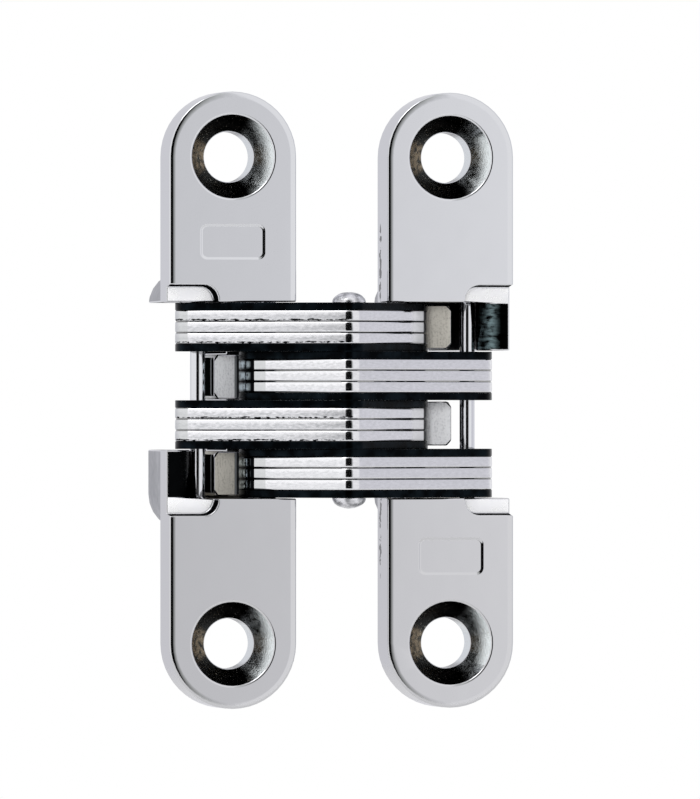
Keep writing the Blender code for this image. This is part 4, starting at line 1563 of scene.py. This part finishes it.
class Leaves:
    """Both castings with rounded edges and a finish for each kind of surface."""

    finishes = (
        Finish.CHROME,
        Finish.CAST,
        Finish.SINK,
        Finish.WEB,
        Finish.POCKET,
        Finish.RECESS,
        Finish.SCOOP,
        Finish.SHADE,
    )
    panels = {
        "left_leaf": Panel((-10.96, 15.47), (6.6, 3.55)),
        "right_leaf": Panel((10.96, -15.3), (6.65, 3.75)),
    }

    def __init__(self, workshop: Workshop, shape: LeafShape) -> None:
        """Keep the workshop and the leaves' places."""
        self.workshop = workshop
        self.shape = shape

    def build(self) -> None:
        """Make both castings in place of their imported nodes."""
        for node, side in (("left_leaf", -1.0), ("right_leaf", 1.0)):
            leaf = Leaf(side, *self.workshop.box(node))
            mesh = self.clean_copy(node)
            self.close_mouths(mesh, leaf)
            self.crown_edge(mesh, leaf)
            self.draft_recess(mesh, leaf)
            mesh = cut_away(mesh, self.panels[node].cutter(leaf.face_y))
            piece = self.workshop.place(mesh, node, [node], "leaf", self.finishes)
            self.mark_faces(mesh, leaf)
            self.round_edges(piece)

    def clean_copy(self, node: str) -> bpy.types.Mesh:
        """Copy a node's mesh, with its triangles joined and its flats whole.

        Args:
            node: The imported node.

        Returns:
            The new mesh, without materials.
        """
        mesh = self.workshop.frame["nodes"][node].data.copy()
        mesh.name = f"{node}_casting"
        mesh.materials.clear()
        with reshaping(mesh) as cage:
            bmesh.ops.remove_doubles(cage, verts=cage.verts, dist=self.shape.merge * MM)
            self.join_flats(cage)
        mesh.shade_smooth()
        return mesh

    def join_flats(self, cage: bmesh.types.BMesh) -> None:
        """Join the faces that lie in one plane, and drop the points in line on their edges."""
        bmesh.ops.dissolve_limit(
            cage,
            angle_limit=self.shape.flat_limit,
            use_dissolve_boundaries=False,
            verts=cage.verts,
            edges=cage.edges,
            delimit=set(),
        )

    def close_mouths(self, mesh: bpy.types.Mesh, leaf: Leaf) -> None:
        """Close the sliding pin's grooves where they break through the recess's floor.

        The groove's walls are split at the lid's depth and their upper parts go. Three
        flat faces between the eight points that are left make the lid, which ends well
        short of the pin.

        Args:
            mesh: The casting's mesh, in metres.
            leaf: The leaf's place.
        """
        shape = self.shape
        top, bottom = shape.recess_depth, shape.mouth_depth
        near, far = shape.pocket_half, shape.pocket_half + shape.groove_depth
        lid = (((top, near), (top, far)), ((top, near), (bottom, near)), ((bottom, near), (bottom, far)))
        level = Vector((0.0, leaf.face_y + bottom, 0.0)) * MM
        with reshaping(mesh) as cage:
            for end in (-1.0, 1.0):
                corners = self.across_mouth(cage, leaf, top, end * far)
                walls = self.walls_at(corners)
                around = dict.fromkeys(part for face in walls for part in (*face.verts, *face.edges))
                geometry = [*walls, *around]
                bmesh.ops.bisect_plane(cage, geom=geometry, plane_co=level, plane_no=(0.0, 1.0, 0.0))
                bmesh.ops.delete(cage, geom=self.walls_at(corners), context="FACES")
                for start, finish in lid:
                    first = self.across_mouth(cage, leaf, start[0], end * start[1])
                    second = self.across_mouth(cage, leaf, finish[0], end * finish[1])
                    cage.faces.new((*first, *reversed(second)))
            bmesh.ops.recalc_face_normals(cage, faces=cage.faces)
            self.join_flats(cage)

    def across_mouth(
        self, cage: bmesh.types.BMesh, leaf: Leaf, depth: float, height: float
    ) -> list[bmesh.types.BMVert]:
        """Return the casting's points nearest to the two sides of a groove's mouth.

        Args:
            cage: The casting.
            leaf: The leaf's place.
            depth: The depth from the face.
            height: The height from the middle.

        Returns:
            The outer point and the inner one.
        """
        found = []
        for inset in self.shape.mouth_insets:
            place = Vector((leaf.outer - leaf.side * inset, leaf.face_y + depth, height)) * MM
            found.append(min(cage.verts, key=lambda vertex: (vertex.co - place).length))
        return found

    def walls_at(self, corners: list[bmesh.types.BMVert]) -> list[bmesh.types.BMFace]:
        """Return the faces at some points that stand square to the leaf's face."""
        faces = dict.fromkeys(face for corner in corners for face in corner.link_faces)
        return [face for face in faces if abs(face.normal.y) < self.shape.shallow]

    def crown_edge(self, mesh: bpy.types.Mesh, leaf: Leaf) -> None:
        """Buff the flange's edge into a low crown.

        The outline of a flange is a bar with half-circle ends, so a point's inset is
        half the width less its distance from the bar's middle line. The points of the
        packed rounding, found by inset and depth, move along that inset to the crown's.

        Args:
            mesh: The casting's mesh, in metres.
            leaf: The leaf's place.
        """
        shape = self.shape
        points = read_points(mesh)
        x, y, z = points.copy().T
        pole = np.copysign(np.minimum(np.abs(z), leaf.end_z), z)
        reach = np.hypot(x - leaf.middle, z - pole)
        for (old_inset, old_depth), (new_inset, new_depth) in zip(shape.packed_edge, shape.crown):
            off_inset = np.abs(leaf.half_width - reach - old_inset)
            off_depth = np.abs(y - leaf.face_y - old_depth)
            met = (off_inset < shape.slack) & (off_depth < shape.slack)
            grown = (leaf.half_width - new_inset) / reach[met]
            points[met, 0] = leaf.middle + (x[met] - leaf.middle) * grown
            points[met, 1] = leaf.face_y + new_depth
            points[met, 2] = pole[met] + (z[met] - pole[met]) * grown
        write_points(mesh, points)

    def draft_recess(self, mesh: bpy.types.Mesh, leaf: Leaf) -> None:
        """Lean the recess's wall back towards its floor, as a casting needs.

        The wall is straight along the recess's top and turns down by a quarter circle.
        Its foot moves inwards by the draft, square to the wall, except beside the pocket.
        The quarter circle's last point moves up a little, so that the rounding has room
        below it.

        Args:
            mesh: The casting's mesh, in metres.
            leaf: The leaf's place.
        """
        shape = self.shape
        points = read_points(mesh)
        x, y, z = points.T
        depth = y - leaf.face_y
        beyond = np.stack([np.abs(leaf.outer - x), np.abs(z)], axis=1) - shape.recess_corner
        outward = np.maximum(beyond, 0.0)
        away = np.linalg.norm(outward, axis=1)
        on_wall = np.abs(away - shape.recess_round) < shape.slack
        on_wall &= depth < shape.recess_depth + shape.slack
        on_wall &= np.abs(z) >= shape.pocket_half + shape.slack
        last = on_wall & (np.abs(beyond[:, 1]) < shape.slack)
        z[last] += np.copysign(shape.recess_rise, z[last])
        foot = on_wall & (depth > shape.recess_depth - shape.slack)
        draft = outward[foot] / away[foot, None] * shape.recess_draft
        x[foot] += draft[:, 0] * leaf.side
        z[foot] -= np.copysign(draft[:, 1], z[foot])
        write_points(mesh, points)

    def mark_faces(self, mesh: bpy.types.Mesh, leaf: Leaf) -> None:
        """Give each face its finish's index, and each point its side of a countersink.

        The side is cos t, where t is the point's angle round the nearer screw hole.

        Args:
            mesh: The casting's mesh, in metres.
            leaf: The leaf's place.
        """
        for face in mesh.polygons:
            x, y, z = np.array(face.center) / MM
            off_hole = math.hypot(x - leaf.middle, abs(z) - leaf.end_z)
            if off_hole < self.shape.sink_radius and abs(face.normal.y) < self.shape.sink_facing:
                finish = Finish.SINK
            else:
                place = ((leaf.outer - x) * leaf.side, y - leaf.face_y, z * leaf.side)
                finish = self.finish_at(place, np.abs(face.normal))
            face.material_index = self.finishes.index(finish)
        x, _, z = read_points(mesh).T
        side = np.cos(np.arctan2(np.abs(z) - leaf.end_z, x - leaf.middle))
        attribute = mesh.attributes.new("sink_side", "FLOAT", "POINT")
        attribute.data.foreach_set("value", side.astype(np.float32))

    def finish_at(self, place: tuple[float, float, float], facing: np.ndarray) -> Finish:
        """Return the finish of a place on a leaf, away from its screw holes.

        Args:
            place: The inset, the depth, and the height towards the kept wall's end.
            facing: The face's normal without signs.

        Returns:
            The finish.
        """
        shape = self.shape
        inset, depth, height = place
        half, slack = shape.pocket_half, shape.slack
        within = abs(height) < half + slack
        in_groove = not within and abs(height) < half + shape.groove_depth + slack
        beside_web = shape.web_insets[0] < inset < shape.web_insets[1]
        # The webs' sides facing X get painted shade.
        if within and beside_web and shape.web_depth < depth < shape.pocket_end:
            return Finish.SHADE if facing[0] > shape.steep else Finish.WEB
        if abs(depth - shape.recess_depth) < slack and facing[1] > shape.steep:
            return Finish.RECESS
        if in_groove and depth < shape.groove_bright_depth and inset < shape.groove_inset:
            return Finish.WEB
        top = shape.recess_corner[1] + shape.recess_round
        # The recess's wall, within its width, gets painted shade.
        if 0.0 < depth < shape.recess_depth and not within and abs(height) < top + slack:
            return Finish.SHADE if facing[1] < shape.steep and inset < shape.recess_width else Finish.CHROME
        if within and height > shape.kept_foot and depth < shape.scoop_end and inset < shape.scoop_width:
            return Finish.SCOOP if depth > shape.recess_depth else Finish.CHROME
        outside = inset > shape.housing_side and facing[0] > shape.steep
        behind = shape.recess_depth < depth < shape.pocket_end
        in_pocket = shape.pocket_insets[0] < inset < shape.pocket_insets[1] and behind
        # Inside the pocket, the walls get painted shade.
        if in_pocket and not outside and (within or (in_groove and facing[2] < shape.shallow)):
            return Finish.POCKET
        return Finish.CAST if depth > shape.flange - slack else Finish.CHROME

    def round_edges(self, piece: bpy.types.Object) -> None:
        """Round a casting's sharp edges.

        Args:
            piece: The casting, which gets a new mesh.
        """
        shape = self.shape
        rounding = piece.modifiers.new("edge_rounding", "BEVEL")
        rounding.width = shape.round_width * MM
        rounding.segments = shape.round_steps
        rounding.limit_method = "ANGLE"
        rounding.angle_limit = shape.round_limit
        rounding.use_clamp_overlap = False
        rounding.miter_outer = "MITER_ARC"
        rounding.material = self.finishes.index(Finish.CHROME)
        graph = bpy.context.evaluated_depsgraph_get()
        rounded = bpy.data.meshes.new_from_object(piece.evaluated_get(graph))
        piece.modifiers.clear()
        rounded.name = piece.data.name
        piece.data = rounded
        self.even_normals(rounded)

    def even_normals(self, mesh: bpy.types.Mesh) -> None:
        """Give each corner of a face the normal that keeps flats flat and runs on over bends.

        At each point a face takes the mean normal of the faces around it that bend less
        than a limit from it, each weighted by its area. A face that is much larger than
        all of those keeps its own normal, and lends it to them.

        Args:
            mesh: The rounded casting.
        """
        shape = self.shape
        areas = np.array([face.area for face in mesh.polygons])
        facing = np.array([face.normal[:] for face in mesh.polygons])
        around: list[list[int]] = [[] for _ in mesh.vertices]
        for face in mesh.polygons:
            for point in face.vertices:
                around[point].append(face.index)
        bend = math.cos(shape.smooth_limit)
        level = math.cos(shape.flat_limit)
        flat = np.zeros(len(areas), dtype=bool)
        for face in mesh.polygons:
            neighbours = {other for point in face.vertices for other in around[point]}
            near = np.array(sorted(neighbours - {face.index}))
            match = facing[near] @ facing[face.index]
            near = near[(match > bend) & (match < level)]
            flat[face.index] = not len(near) or areas[face.index] > shape.flat_share * areas[near].max()
        corners = np.zeros((len(mesh.loops), 3))
        for face in mesh.polygons:
            for loop in face.loop_indices:
                if flat[face.index]:
                    corners[loop] = facing[face.index]
                    continue
                near = np.array(around[mesh.loops[loop].vertex_index])
                near = near[facing[near] @ facing[face.index] > bend]
                kept = near[flat[near]] if flat[near].any() else near
                corners[loop] = (areas[kept, None] * facing[kept]).sum(axis=0)
        corners /= np.linalg.norm(corners, axis=1, keepdims=True)
        mesh.normals_split_custom_set(corners.tolist())


def main() -> None:
    """Build the studio and dress the hinge."""
    logging.basicConfig(level=logging.INFO, format="%(message)s")
    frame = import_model()
    Studio().build()
    workshop = Workshop(frame, Finishes())
    Leaves(workshop, LeafShape()).build()
    LinkPlates(workshop, LinkShape()).build()
    Pins(workshop, PinShape()).build()


if __name__ == "__main__":
    main()
